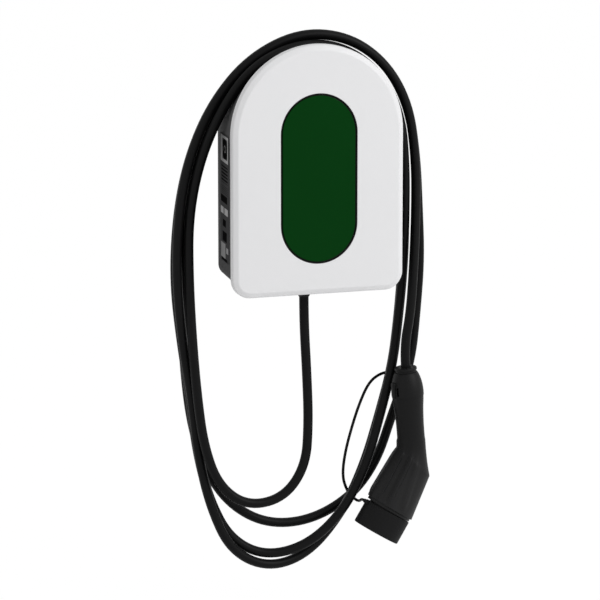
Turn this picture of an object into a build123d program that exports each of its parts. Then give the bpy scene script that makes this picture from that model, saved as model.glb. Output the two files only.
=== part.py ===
from build123d import *
from itertools import product
import math
import os

os.makedirs("parts", exist_ok=True)

# Wall charging unit for an electric vehicle. Its own cable hangs over it in four turns,
# and a capped vehicle connector hangs on the cable's end.
# Millimetres. The wall is the plane Y = 0, the front faces -Y and up is +Z.
# The origin is the middle of the four wall fixing holes, on the wall.
# A "reach" is a distance from the wall, measured towards the front.

# Front cover and window
unit_depth = 118.0
cover_width = 252.0
cover_height = 352.0
cover_depth = 14.0
cover_corner = 26.0
cover_edge_round = 7.0
cover_wall = 3.0
window_width = 113.0
window_height = 240.0
window_drop = 12.0
window_groove = 3.0
window_recess = 0.5
window_flange = 6.0
window_flange_thickness = 2.4
window_seal_thickness = 0.8

# Rear housing, wider at the front than at the wall so that the hung cable stays on it
housing_front_inset = 3.0
housing_back_half_width = 109.0
housing_top_drop = 13.0
housing_bottom_rise = 14.0
housing_corner = 17.0
housing_wall = 3.5
housing_back_wall = 4.0
gasket_thickness = 1.5
inner_cover_thickness = 3.0
inner_cover_clearance = 0.4

# Wall fixing
wall_hole_spacing_x = 100.0
wall_hole_spacing_z = 210.0
wall_hole_radius = 3.25
wall_pad_radius = 11.0
back_pocket_margin = 13.0
back_pocket_depth = 1.5

# Screws that hold the inner cover
cover_screw_side_inset = 18.0
cover_screw_height_shares = (0.505, 1.025)
cover_screw_arch_inset = 16.0
cover_screw_arch_angle = 48.6
cover_screw_foot_spacing = 124.0
cover_screw_foot_rise = 13.0
boss_radius = 4.5
screw_radius = 1.75
screw_core_clearance = 0.05
screw_length = 14.0
screw_head_radius = 3.4
screw_head_height = 2.4
screw_hole_clearance = 0.35

# Screws through the cover's foot
foot_screw_spacing = 140.0
foot_lug_width = 14.0
foot_lug_height = 11.0
foot_screw_share = 0.4

# Electronics
board_thickness = 1.6
board_width = 150.0
board_foot_rise = 75.0
board_top_rise = 63.0
board_reach = 22.0
board_edge = 7.0
post_radius = 3.5
board_screw_radius = 1.4
board_screw_head_radius = 2.8
board_screw_head_height = 2.0
board_screw_length = 9.0
relay_size = (30.0, 36.0, 27.0)
relay_spacing = 34.0
relay_middle_x = -24.0
relay_count = 3
sensor_outer_radius = 19.0
sensor_inner_radius = 11.0
sensor_height = 14.0
sensor_x = 48.0
power_row_rise = 39.0
supply_size = (42.0, 34.0, 24.0)
supply_x = -42.0
supply_drop = 41.0
capacitor_radius = 6.5
capacitor_height = 21.0
capacitor_spacing = 17.0
capacitor_x = 14.0
capacitor_drop = 37.0
radio_size = (26.0, 32.0, 3.4)
radio_x = 52.0
radio_drop = 45.0
terminal_poles = 5
terminal_pitch = 13.0
terminal_height = 24.0
terminal_depth = 30.0
terminal_rise = 54.0
terminal_screw_radius = 3.2
terminal_screw_slot = 1.0
terminal_screw_depth = 6.0
light_board_width = 84.0
light_board_height = 204.0
light_board_lift = 0.8
light_guide_width = 10.0
light_guide_height = 150.0
light_guide_thickness = 1.8
conductor_radius = 1.6
conductor_first_angle = 198.0

# Charging cable and its gland
cable_diameter = 13.6
gland_reach = 52.0
gland_thread_radius = 12.0
gland_bore_clearance = 0.3
gland_hex_radius = 16.0
gland_hex_height = 6.0
gland_thread_height = 10.0
gland_dome_height = 18.0
gland_dome_end_radius = 10.5
gland_locknut_height = 5.0
gland_seal_radius = 9.2
gland_seal_height = 10.0
gland_hole_clearance = 0.2
sheath_inside = 17.0
cable_gland_lead = 40.0
cable_plug_lead = 29.0

# Supply cable entry in the back wall, beside the terminals
entry_from_side = 37.0
entry_from_foot = 34.0
entry_bore_radius = 8.0
entry_hole_radius = 12.0
entry_flange_radius = 15.5
entry_lip = 3.0
entry_wall_gap = 0.2

# Thin plate on the housing's left side
side_plate_front_gap = 19.5
side_plate_foot_gap = 41.0
side_plate_width = 49.0
side_plate_height = 160.0
side_plate_thickness = 0.5
side_plate_round = 2.0

# Vehicle connector, hanging in front of the wall at the cable's end
plug_reach = 68.0
plug_top = (148.9, -300.0)
grip_lean = 4.9
grip_length = 109.0
collar_radius = 16.0
collar_height = 7.0
rear_shell_length = 42.0
bulge_radius = 23.4
bulge_distance = 34.0
seam_radius = 22.8
shell_tab_distance = 28.0
shell_tab_height = 22.0
shell_tab_width = 7.0
shell_tab_out = 2.2
waist_radius = 19.6
grip_end_radius = 20.3
knee_length = 74.3
knee_lean = 29.0
knee_tilt = 41.3
knee_half_width = 33.4
knee_half_depth = 27.0
rib_width = 4.4
rib_height = 1.2
nose_tilt = 31.0
head_end = (125.0, -506.5)
head_end_radius = 36.0
head_wall = 3.0
nose_radius = 27.5
nose_flat = 21.0
nose_length = 23.0
nose_seat = 8.0
neck_radius = 29.8
neck_height = 4.6
contact_radius = 3.6
contact_small_radius = 2.6
contact_wall = 0.9
contact_depth = 18.0
contact_row = 8.1
contact_pitch = 15.6
contact_small_pitch = 12.2

# Protective cap and its lanyard
cap_radius = 35.0
cap_length = 34.0
cap_wall = 2.6
cap_crown = 1.0
cap_seat_clearance = 0.35
cap_tab_width = 8.0
cap_tab_length = 5.2
cap_tab_thickness = 6.0
lanyard_diameter = 3.6
lanyard_lug_distance = 13.0
lanyard_lug_reach = 23.5
lanyard_lug_radius = 3.6
lanyard_lead = 12.0

# One overrun serves all cuts
overrun = 1.0
fit_gap = 0.3

# Worked out from the sizes above
cover_half_width = cover_width / 2
cover_top = cover_height / 2
cover_foot = -cover_height / 2
cover_arch_centre = cover_top - cover_half_width
cover_back = unit_depth - cover_depth
window_z = -window_drop
tub_depth = cover_back - gasket_thickness
housing_front_half_width = cover_half_width - housing_front_inset
housing_arch_centre = cover_top - housing_top_drop - housing_front_half_width
housing_foot = cover_foot + housing_bottom_rise
skin_reach = unit_depth - cover_wall
inner_cover_front = cover_back + inner_cover_thickness
boss_top = tub_depth + gasket_thickness
entry_place = (housing_back_half_width - entry_from_side, housing_foot + entry_from_foot)
board_foot = housing_foot + board_foot_rise
board_top = housing_arch_centre + board_top_rise
board_height = board_top - board_foot
board_middle_z = (board_top + board_foot) / 2
terminal_middle_z = housing_foot + terminal_rise
cable_radius = cable_diameter / 2
gland_end = housing_foot - gland_hex_height - gland_dome_height


def wall_plane(reach):
    """Sketch plane parallel to the wall: local x is X, local y is Z, extrusions come forwards."""
    return Plane.XZ.offset(reach)


def floor_plane(height):
    """Sketch plane across the unit at a height: local y is -reach."""
    return Plane.XY.offset(height)


def arch_face(half_width, foot, arch_centre, corner):
    """Arch-topped outline with rounded lower corners, inside a sketch on a wall plane."""
    with BuildLine() as outline:
        Polyline(
            (-half_width, arch_centre), (-half_width, foot), (half_width, foot), (half_width, arch_centre)
        )
        ThreePointArc(
            (half_width, arch_centre), (0, arch_centre + half_width), (-half_width, arch_centre)
        )
    make_face(outline.edges())
    fillet(vertices().group_by(Axis.Y)[0], corner)


def housing_half_width(reach):
    """Half width of the tapered housing at a distance from the wall."""
    share = reach / tub_depth
    return housing_back_half_width + (housing_front_half_width - housing_back_half_width) * share


def finish(part, name):
    """Names a finished piece and writes it."""
    part.label = name
    export_step(part, "parts/" + name + ".step")


# The inner cover's screws follow the middle of the housing's tapered wall
screw_line_half_width = (housing_front_half_width + housing_back_half_width) / 2
screw_arch_radius = screw_line_half_width - cover_screw_arch_inset
screw_arch_angle = math.radians(cover_screw_arch_angle)
inner_screw_places = []
for side in (-1, 1):
    for share in cover_screw_height_shares:
        screw_height = housing_foot + (housing_arch_centre - housing_foot) * share
        inner_screw_places.append((side * (screw_line_half_width - cover_screw_side_inset), screw_height))
    inner_screw_places.append((
        side * screw_arch_radius * math.cos(screw_arch_angle),
        housing_arch_centre + screw_arch_radius * math.sin(screw_arch_angle),
    ))
    inner_screw_places.append((side * cover_screw_foot_spacing / 2, housing_foot + cover_screw_foot_rise))


# Rear housing: a tapered black tub, open to the front
with BuildPart() as rear_housing:
    with BuildSketch(wall_plane(0)):
        arch_face(housing_back_half_width, housing_foot, housing_arch_centre, housing_corner)
    with BuildSketch(wall_plane(tub_depth)):
        arch_face(housing_front_half_width, housing_foot, housing_arch_centre, housing_corner)
    loft(ruled=True)
    with BuildSketch(wall_plane(housing_back_wall)):
        arch_face(
            housing_half_width(housing_back_wall) - housing_wall,
            housing_foot + housing_wall,
            housing_arch_centre,
            housing_corner - housing_wall,
        )
    with BuildSketch(wall_plane(tub_depth)):
        arch_face(
            housing_front_half_width - housing_wall,
            housing_foot + housing_wall,
            housing_arch_centre,
            housing_corner - housing_wall,
        )
    loft(ruled=True, mode=Mode.SUBTRACT)
    # Shallow pocket in the back, with pads left round the fixing holes
    with BuildSketch(wall_plane(0)):
        arch_face(
            housing_back_half_width - back_pocket_margin,
            housing_foot + back_pocket_margin,
            housing_arch_centre,
            housing_corner,
        )
        with GridLocations(wall_hole_spacing_x, wall_hole_spacing_z, 2, 2):
            Circle(wall_pad_radius, mode=Mode.SUBTRACT)
    extrude(amount=back_pocket_depth, mode=Mode.SUBTRACT)
    # Screw bosses and board posts stand on the back wall
    with BuildSketch(wall_plane(housing_back_wall - back_pocket_depth)):
        with Locations(*inner_screw_places):
            Circle(boss_radius)
    extrude(amount=boss_top - housing_back_wall + back_pocket_depth)
    with BuildSketch(wall_plane(housing_back_wall - back_pocket_depth)):
        with Locations((0, board_middle_z)):
            with GridLocations(board_width - 2 * board_edge, board_height - 2 * board_edge, 2, 2):
                Circle(post_radius)
    extrude(amount=board_reach - housing_back_wall + back_pocket_depth)
    with BuildSketch(wall_plane(boss_top)):
        with Locations(*inner_screw_places):
            Circle(screw_radius + screw_core_clearance)
    extrude(amount=-screw_length, mode=Mode.SUBTRACT)
    with BuildSketch(wall_plane(board_reach)):
        with Locations((0, board_middle_z)):
            with GridLocations(board_width - 2 * board_edge, board_height - 2 * board_edge, 2, 2):
                Circle(board_screw_radius + screw_core_clearance)
    extrude(amount=-board_screw_length, mode=Mode.SUBTRACT)
    # Holes in the back wall for the fixing screws and the supply entry
    with BuildSketch(wall_plane(0)):
        with GridLocations(wall_hole_spacing_x, wall_hole_spacing_z, 2, 2):
            Circle(wall_hole_radius)
        with Locations(entry_place):
            Circle(entry_hole_radius)
    extrude(amount=housing_back_wall + overrun, mode=Mode.SUBTRACT)
    # Hole in the foot for the gland
    with BuildSketch(floor_plane(housing_foot - overrun)):
        with Locations((0, -gland_reach)):
            Circle(gland_thread_radius + gland_hole_clearance)
    extrude(amount=housing_wall + 2 * overrun, mode=Mode.SUBTRACT)
finish(rear_housing.part, "rear_housing")

# Gasket between the tub's rim and the inner cover
with BuildPart() as housing_gasket:
    with BuildSketch(wall_plane(tub_depth)):
        arch_face(housing_front_half_width, housing_foot, housing_arch_centre, housing_corner)
    extrude(amount=gasket_thickness)
    with BuildSketch(wall_plane(tub_depth)):
        arch_face(
            housing_front_half_width - housing_wall,
            housing_foot + housing_wall,
            housing_arch_centre,
            housing_corner - housing_wall,
        )
    extrude(amount=gasket_thickness, mode=Mode.SUBTRACT)
finish(housing_gasket.part, "housing_gasket")

# Inner cover: a black plate that seals the tub and carries the front cover
inner_cover_inset = cover_wall + inner_cover_clearance
foot_lug_top = cover_foot + inner_cover_inset + foot_lug_height
foot_lug_depth = skin_reach - inner_cover_front - fit_gap
foot_screw_reach = inner_cover_front + foot_lug_depth * foot_screw_share
foot_lug_round = cover_edge_round - cover_wall + inner_cover_clearance
light_board_reach = inner_cover_front + light_board_lift
light_post_inset = board_edge
with BuildPart() as inner_cover:
    with BuildSketch(wall_plane(cover_back)):
        arch_face(
            cover_half_width - inner_cover_inset,
            cover_foot + inner_cover_inset,
            cover_arch_centre,
            cover_corner - inner_cover_inset,
        )
    extrude(amount=inner_cover_thickness)
    with BuildSketch(wall_plane(inner_cover_front)):
        with Locations((0, foot_lug_top - foot_lug_height / 2)):
            with GridLocations(foot_screw_spacing, 0, 2, 1):
                Rectangle(foot_lug_width, foot_lug_height)
    extrude(amount=foot_lug_depth)
    lug_front = inner_cover.faces().sort_by(Axis.Y)[:2]
    fillet(lug_front.edges().filter_by(Axis.X).group_by(Axis.Z)[0], foot_lug_round)
    with BuildSketch(wall_plane(inner_cover_front)):
        with Locations((0, window_z)):
            with GridLocations(
                light_board_width - 2 * light_post_inset, light_board_height - 4 * light_post_inset, 2, 2
            ):
                Circle(post_radius)
    extrude(amount=light_board_lift)
    with BuildSketch(wall_plane(cover_back - overrun)):
        with Locations(*inner_screw_places):
            Circle(screw_radius + screw_hole_clearance)
    extrude(amount=inner_cover_thickness + 2 * overrun, mode=Mode.SUBTRACT)
    with BuildSketch(floor_plane(cover_foot)):
        with Locations((0, -foot_screw_reach)):
            with GridLocations(foot_screw_spacing, 0, 2, 1):
                Circle(screw_radius + screw_core_clearance)
    extrude(amount=screw_length, mode=Mode.SUBTRACT)
finish(inner_cover.part, "inner_cover")

# Screws of the inner cover, driven in from the front
with BuildPart() as inner_cover_screws:
    with BuildSketch(wall_plane(inner_cover_front)):
        with Locations(*inner_screw_places):
            Circle(screw_radius)
    extrude(amount=inner_cover_thickness - screw_length)
    with BuildSketch(wall_plane(inner_cover_front)):
        with Locations(*inner_screw_places):
            Circle(screw_head_radius)
    extrude(amount=screw_head_height)
    with BuildSketch(wall_plane(inner_cover_front + screw_head_height)):
        with Locations(*inner_screw_places):
            RegularPolygon(screw_radius, 6)
    extrude(amount=-screw_head_height / 2, mode=Mode.SUBTRACT)
finish(inner_cover_screws.part, "inner_cover_screws")

# Front cover: the white arch shell with a rounded front edge and the window opening
with BuildPart() as front_cover:
    with BuildSketch(wall_plane(cover_back)):
        arch_face(cover_half_width, cover_foot, cover_arch_centre, cover_corner)
    extrude(amount=cover_depth)
    front_edges = front_cover.faces().sort_by(Axis.Y)[0].edges()
    fillet(front_edges, cover_edge_round)
    rear_face = front_cover.faces().sort_by(Axis.Y)[-1]
    offset(amount=-cover_wall, openings=rear_face)
    with BuildSketch(wall_plane(skin_reach - overrun)):
        with Locations((0, window_z)):
            SlotOverall(window_height, window_width, rotation=90)
    extrude(amount=cover_wall + 2 * overrun, mode=Mode.SUBTRACT)
    with BuildSketch(floor_plane(cover_foot - overrun)):
        with Locations((0, -foot_screw_reach)):
            with GridLocations(foot_screw_spacing, 0, 2, 1):
                Circle(screw_radius + screw_hole_clearance)
    extrude(amount=cover_wall + 2 * overrun, mode=Mode.SUBTRACT)
    with BuildSketch(floor_plane(cover_foot)):
        with Locations((0, -foot_screw_reach)):
            with GridLocations(foot_screw_spacing, 0, 2, 1):
                Circle(screw_head_radius + screw_hole_clearance)
    extrude(amount=cover_wall / 2, mode=Mode.SUBTRACT)
finish(front_cover.part, "front_cover")

# Two screws up through the cover's foot into the lugs
with BuildPart() as cover_foot_screws:
    with BuildSketch(floor_plane(cover_foot + cover_wall / 2)):
        with Locations((0, -foot_screw_reach)):
            with GridLocations(foot_screw_spacing, 0, 2, 1):
                Circle(screw_head_radius)
    extrude(amount=-screw_head_height / 2)
    with BuildSketch(floor_plane(cover_foot + cover_wall / 2)):
        with Locations((0, -foot_screw_reach)):
            with GridLocations(foot_screw_spacing, 0, 2, 1):
                Circle(screw_radius)
    extrude(amount=screw_length - cover_wall)
finish(cover_foot_screws.part, "cover_foot_screws")

# Window seal: a black ring behind the skin with a thin lip up the opening's wall
seal_outer_height = window_height + 2 * window_flange
seal_outer_width = window_width + 2 * window_flange
pane_height = window_height - 2 * window_groove
pane_width = window_width - 2 * window_groove
with BuildPart() as window_seal:
    with BuildSketch(wall_plane(skin_reach)):
        with Locations((0, window_z)):
            SlotOverall(seal_outer_height, seal_outer_width, rotation=90)
            SlotOverall(pane_height, pane_width, rotation=90, mode=Mode.SUBTRACT)
    extrude(amount=-window_seal_thickness)
    with BuildSketch(wall_plane(skin_reach)):
        with Locations((0, window_z)):
            SlotOverall(window_height, window_width, rotation=90)
            SlotOverall(
                window_height - 2 * window_seal_thickness,
                window_width - 2 * window_seal_thickness,
                rotation=90,
                mode=Mode.SUBTRACT,
            )
    extrude(amount=cover_wall - window_recess)
finish(window_seal.part, "window_seal")

# Window panel: glossy dark pane with a flange behind the seal
flange_front = skin_reach - window_seal_thickness
with BuildPart() as window_panel:
    with BuildSketch(wall_plane(flange_front)):
        with Locations((0, window_z)):
            SlotOverall(seal_outer_height, seal_outer_width, rotation=90)
    extrude(amount=-window_flange_thickness)
    with BuildSketch(wall_plane(flange_front)):
        with Locations((0, window_z)):
            SlotOverall(pane_height, pane_width, rotation=90)
    extrude(amount=unit_depth - window_recess - flange_front)
    pane_edges = window_panel.faces().sort_by(Axis.Y)[0].edges()
    fillet(pane_edges, window_recess)
finish(window_panel.part, "window_panel")

# Light board on the inner cover and the light guide between it and the pane
with BuildPart() as light_board:
    with BuildSketch(wall_plane(light_board_reach)):
        with Locations((0, window_z)):
            SlotOverall(light_board_height, light_board_width, rotation=90)
    extrude(amount=board_thickness)
finish(light_board.part, "light_board")

with BuildPart() as light_guide:
    with BuildSketch(wall_plane(light_board_reach + board_thickness)):
        with Locations((0, window_z)):
            SlotOverall(light_guide_height, light_guide_width, rotation=90)
    extrude(amount=light_guide_thickness)
finish(light_guide.part, "light_guide")

# Main board and what is soldered to it
board_front = board_reach + board_thickness
with BuildPart() as main_board:
    with BuildSketch(wall_plane(board_reach)):
        with Locations((0, board_middle_z)):
            RectangleRounded(board_width, board_height, post_radius)
            with GridLocations(board_width - 2 * board_edge, board_height - 2 * board_edge, 2, 2):
                Circle(board_screw_radius + screw_hole_clearance, mode=Mode.SUBTRACT)
    extrude(amount=board_thickness)
finish(main_board.part, "main_board")

with BuildPart() as board_screws:
    with BuildSketch(wall_plane(board_front)):
        with Locations((0, board_middle_z)):
            with GridLocations(board_width - 2 * board_edge, board_height - 2 * board_edge, 2, 2):
                Circle(board_screw_head_radius)
    extrude(amount=board_screw_head_height)
    with BuildSketch(wall_plane(board_front)):
        with Locations((0, board_middle_z)):
            with GridLocations(board_width - 2 * board_edge, board_height - 2 * board_edge, 2, 2):
                Circle(board_screw_radius)
    extrude(amount=-board_screw_length + board_thickness)
finish(board_screws.part, "board_screws")

with BuildPart() as power_relays:
    with BuildSketch(wall_plane(board_front)):
        with Locations((relay_middle_x, board_foot + power_row_rise)):
            with GridLocations(relay_spacing, 0, relay_count, 1):
                RectangleRounded(relay_size[0], relay_size[1], board_thickness)
    extrude(amount=relay_size[2])
finish(power_relays.part, "power_relays")

with BuildPart() as current_sensor:
    with BuildSketch(wall_plane(board_front)):
        with Locations((sensor_x, board_foot + power_row_rise)):
            Circle(sensor_outer_radius)
            Circle(sensor_inner_radius, mode=Mode.SUBTRACT)
    extrude(amount=sensor_height)
    fillet(current_sensor.edges().group_by(Axis.Y)[0], board_thickness)
finish(current_sensor.part, "current_sensor")

with BuildPart() as power_supply:
    with BuildSketch(wall_plane(board_front)):
        with Locations((supply_x, board_top - supply_drop)):
            Rectangle(supply_size[0], supply_size[1])
    extrude(amount=supply_size[2])
    chamfer(power_supply.edges().group_by(Axis.Y)[0], board_thickness)
finish(power_supply.part, "power_supply")

with BuildPart() as capacitors:
    with BuildSketch(wall_plane(board_front)):
        with Locations((capacitor_x, board_top - capacitor_drop)):
            with GridLocations(capacitor_spacing, capacitor_spacing, 2, 2):
                Circle(capacitor_radius)
    extrude(amount=capacitor_height)
finish(capacitors.part, "capacitors")

with BuildPart() as radio_module:
    with BuildSketch(wall_plane(board_front)):
        with Locations((radio_x, board_top - radio_drop)):
            RectangleRounded(radio_size[0], radio_size[1], board_thickness)
    extrude(amount=radio_size[2])
finish(radio_module.part, "radio_module")

# Terminal block on the back wall, one pole for each conductor
terminal_width = terminal_poles * terminal_pitch
terminal_front = housing_back_wall + terminal_depth
terminal_foot = terminal_middle_z - terminal_height / 2
terminal_hole_reach = housing_back_wall + terminal_depth / 2
with BuildPart() as terminal_block:
    with BuildSketch(wall_plane(housing_back_wall)):
        with Locations((0, terminal_middle_z)):
            Rectangle(terminal_width, terminal_height)
    extrude(amount=terminal_depth)
    with BuildSketch(wall_plane(terminal_front)):
        with Locations((0, terminal_middle_z)):
            with GridLocations(terminal_pitch, 0, terminal_poles, 1):
                Circle(terminal_screw_radius + screw_hole_clearance)
    extrude(amount=-terminal_screw_depth - terminal_screw_slot, mode=Mode.SUBTRACT)
    with BuildSketch(floor_plane(terminal_foot)):
        with Locations((0, -terminal_hole_reach)):
            with GridLocations(terminal_pitch, 0, terminal_poles, 1):
                Circle(conductor_radius + screw_hole_clearance)
    extrude(amount=terminal_height / 2, mode=Mode.SUBTRACT)
finish(terminal_block.part, "terminal_block")

with BuildPart() as terminal_screws:
    with BuildSketch(wall_plane(terminal_front - terminal_screw_slot)):
        with Locations((0, terminal_middle_z)):
            with GridLocations(terminal_pitch, 0, terminal_poles, 1):
                Circle(terminal_screw_radius)
    extrude(amount=-terminal_screw_depth)
    with BuildSketch(wall_plane(terminal_front - terminal_screw_slot)):
        with Locations((0, terminal_middle_z)):
            with GridLocations(terminal_pitch, 0, terminal_poles, 1):
                Rectangle(2 * terminal_screw_radius, terminal_screw_slot)
    extrude(amount=-terminal_screw_slot, mode=Mode.SUBTRACT)
finish(terminal_screws.part, "terminal_screws")

# Cable gland in the foot: body, inside nut, dome nut, seal
with BuildPart() as gland_body:
    with BuildSketch(floor_plane(housing_foot)):
        with Locations((0, -gland_reach)):
            RegularPolygon(gland_hex_radius, 6)
    extrude(amount=-gland_hex_height)
    with BuildSketch(floor_plane(housing_foot)):
        with Locations((0, -gland_reach)):
            Circle(gland_thread_radius)
    extrude(amount=housing_wall + gland_thread_height)
    with BuildSketch(floor_plane(housing_foot - gland_hex_height)):
        with Locations((0, -gland_reach)):
            Circle(cable_radius + gland_bore_clearance)
    extrude(
        amount=gland_hex_height + housing_wall + gland_thread_height + overrun, mode=Mode.SUBTRACT
    )
finish(gland_body.part, "gland_body")

with BuildPart() as gland_locknut:
    with BuildSketch(floor_plane(housing_foot + housing_wall)):
        with Locations((0, -gland_reach)):
            RegularPolygon(gland_hex_radius, 6)
            Circle(gland_thread_radius, mode=Mode.SUBTRACT)
    extrude(amount=gland_locknut_height)
finish(gland_locknut.part, "gland_locknut")

dome_top = housing_foot - gland_hex_height
dome_hex_foot = dome_top - gland_dome_height / 2
with BuildPart() as gland_dome_nut:
    with BuildSketch(floor_plane(dome_top)):
        with Locations((0, -gland_reach)):
            RegularPolygon(gland_hex_radius, 6)
    extrude(amount=dome_hex_foot - dome_top)
    with BuildSketch(floor_plane(dome_hex_foot)):
        with Locations((0, -gland_reach)):
            Circle(gland_hex_radius * math.cos(math.pi / 6))
    with BuildSketch(floor_plane(gland_end)):
        with Locations((0, -gland_reach)):
            Circle(gland_dome_end_radius)
    loft()
    with BuildSketch(floor_plane(gland_end - overrun)):
        with Locations((0, -gland_reach)):
            Circle(cable_radius + gland_bore_clearance)
    extrude(amount=gland_dome_height + 2 * overrun, mode=Mode.SUBTRACT)
    with BuildSketch(floor_plane(dome_top)):
        with Locations((0, -gland_reach)):
            Circle(gland_seal_radius)
    extrude(amount=-gland_seal_height, mode=Mode.SUBTRACT)
finish(gland_dome_nut.part, "gland_dome_nut")

with BuildPart() as gland_seal:
    with BuildSketch(floor_plane(dome_top)):
        with Locations((0, -gland_reach)):
            Circle(gland_seal_radius)
            Circle(cable_radius, mode=Mode.SUBTRACT)
    extrude(amount=-gland_seal_height)
finish(gland_seal.part, "gland_seal")

# The cable's sheath inside the gland, and its conductors up to the terminals
sheath_end = housing_foot + sheath_inside
with BuildPart() as cable_sheath_end:
    with BuildSketch(floor_plane(gland_end)):
        with Locations((0, -gland_reach)):
            Circle(cable_radius)
    extrude(amount=sheath_end - gland_end)
finish(cable_sheath_end.part, "cable_sheath_end")

conductor_ring = cable_radius - conductor_radius - conductor_radius / 4
conductor_tail = terminal_height / 3
conductor_turns = (0, -1, 1, -2, 2)
conductor_step = 360 / terminal_poles
with BuildPart() as cable_conductors:
    for pole in range(terminal_poles):
        angle = math.radians(conductor_first_angle + conductor_step * conductor_turns[pole])
        start_x = conductor_ring * math.cos(angle)
        start_reach = gland_reach - conductor_ring * math.sin(angle)
        pole_x = (pole - (terminal_poles - 1) / 2) * terminal_pitch
        with BuildLine() as conductor_path:
            Spline(
                (start_x, -start_reach, sheath_end),
                (pole_x, -terminal_hole_reach, terminal_foot),
                tangents=((0, 0, 1), (0, 0, 1)),
            )
            Line(
                (pole_x, -terminal_hole_reach, terminal_foot),
                (pole_x, -terminal_hole_reach, terminal_foot + conductor_tail),
            )
        with BuildSketch(Plane(origin=conductor_path.line @ 0, z_dir=(0, 0, 1))):
            Circle(conductor_radius)
        sweep(path=conductor_path.line, mode=Mode.ADD)
finish(cable_conductors.part, "cable_conductors")

# Rubber grommet for the supply cable: its outer flange lies in the back pocket
with BuildPart() as entry_grommet:
    with BuildSketch(wall_plane(entry_wall_gap)):
        with Locations(entry_place):
            Circle(entry_flange_radius)
    extrude(amount=back_pocket_depth - entry_wall_gap)
    with BuildSketch(wall_plane(back_pocket_depth)):
        with Locations(entry_place):
            Circle(entry_hole_radius)
    extrude(amount=housing_back_wall - back_pocket_depth)
    with BuildSketch(wall_plane(housing_back_wall)):
        with Locations(entry_place):
            Circle(entry_flange_radius - entry_lip / 2)
    extrude(amount=entry_lip)
    with BuildSketch(wall_plane(entry_wall_gap - overrun)):
        with Locations(entry_place):
            Circle(entry_bore_radius)
    extrude(amount=housing_back_wall + entry_lip + 2 * overrun, mode=Mode.SUBTRACT)
finish(entry_grommet.part, "entry_grommet")

# Thin plate stuck to the housing's sloping left side
plate_reach = tub_depth - side_plate_front_gap - side_plate_width / 2
plate_z = housing_foot + side_plate_foot_gap + side_plate_height / 2
side_slope = math.atan((housing_front_half_width - housing_back_half_width) / tub_depth)
side_plane = Plane(
    origin=(-housing_half_width(plate_reach), -plate_reach, plate_z),
    x_dir=(-math.sin(side_slope), -math.cos(side_slope), 0),
    z_dir=(-math.cos(side_slope), math.sin(side_slope), 0),
)
with BuildPart() as side_plate:
    with BuildSketch(side_plane):
        RectangleRounded(side_plate_width, side_plate_height, side_plate_round)
    extrude(amount=side_plate_thickness)
finish(side_plate.part, "side_plate")

# Connector axes: the grip hangs almost straight, the head turns down and to the left
lean = math.radians(grip_lean)
tilt = math.radians(nose_tilt)
grip_way = Vector(math.sin(lean), 0, -math.cos(lean))
nose_way = Vector(-math.sin(tilt), 0, -math.cos(tilt))
plug_origin = Vector(plug_top[0], -plug_reach, plug_top[1])
head_foot = Vector(head_end[0], -plug_reach, head_end[1])
toward_front = Vector(0, -1, 0)


def grip_plane(distance):
    """Plane across the grip at a distance below the collar's top."""
    return Plane(origin=plug_origin + grip_way * distance, x_dir=toward_front, z_dir=grip_way)


def nose_plane(distance):
    """Plane across the nose at a distance past the head's end face."""
    return Plane(origin=head_foot + nose_way * distance, x_dir=toward_front, z_dir=nose_way)


lug_root = plug_origin + grip_way * lanyard_lug_distance
lug_end = lug_root - toward_front * lanyard_lug_reach


# Charging cable, as the points of its route: x, reach, z.
# Four turns hang over the housing, each with its own loop below, and the last ends in the connector.
cable_route = [
    (3, 56, -300), (5, 58, -372), (1, 58, -436), (-32, 58, -481),
    (-87, 58, -489), (-130, 58, -456), (-152, 59, -396), (-162, 60, -322), (-168, 58, -244),
    (-170, 50, -158),
    (-169, 46, -72), (-155, 50, 6), (-128, 59, 77), (-81, 62, 142), (-8, 55, 172), (62, 47, 163),
    (117, 46, 122), (148, 46, 62), (155, 46, -10), (155, 46, -84), (153, 46, -158), (146, 46, -230),
    (137, 46, -303), (117, 46, -378), (97, 46, -446), (62, 46, -512), (8, 45, -558), (-54, 36, -571),
    (-105, 30, -542), (-136, 30, -480), (-154, 30, -408), (-163, 30, -330), (-176, 30, -248),
    (-186, 31, -160),
    (-181, 31, -68), (-164, 31, 12), (-131, 32, 86), (-78, 32, 147), (-5, 32, 182), (68, 31, 176),
    (128, 31, 138), (165, 31, 74), (177, 31, -2), (181, 31, -78), (186, 26, -152), (184, 17, -230),
    (178, 12, -308), (150, 12, -380), (126, 12, -450), (86, 12, -500), (24, 12, -530), (-42, 12, -530),
    (-97, 12, -498), (-134, 12, -445), (-155, 12, -378), (-165, 13, -305), (-170, 16, -228),
    (-170, 25, -150),
    (-166, 31, -74), (-151, 25, 2), (-124, 17, 76), (-79, 17, 138), (-6, 24, 168), (62, 30, 160),
    (117, 31, 120), (149, 31, 60), (158, 31, -12), (159, 31, -86), (157, 31, -160), (151, 31, -233),
    (142, 31, -305), (122, 30, -378), (101, 30, -446), (68, 31, -514), (14, 32, -574), (-50, 39, -588),
    (-108, 45, -556), (-138, 45, -490), (-156, 45, -414), (-164, 45, -336), (-178, 45, -252),
    (-187, 46, -158),
    (-184.5, 46, -72), (-171, 46, 6), (-138, 47, 84), (-84, 47, 149), (-8, 46, 185), (66, 46, 178),
    (124, 46, 138), (160, 46, 76), (171, 46, -2), (169, 53, -76), (163, 62, -150), (156, 68, -222),
]


def route_radii(points, run_share=0.45):
    """Arc radius at each inner point: a share of the shorter run over the tangent of half the turn."""
    radii = []
    for before, here, after in zip(points, points[1:], points[2:]):
        arriving = here - before
        leaving = after - here
        half_turn = math.radians(arriving.get_angle(leaving)) / 2
        radii.append(run_share * min(arriving.length, leaving.length) / math.tan(half_turn))
    return radii


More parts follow.
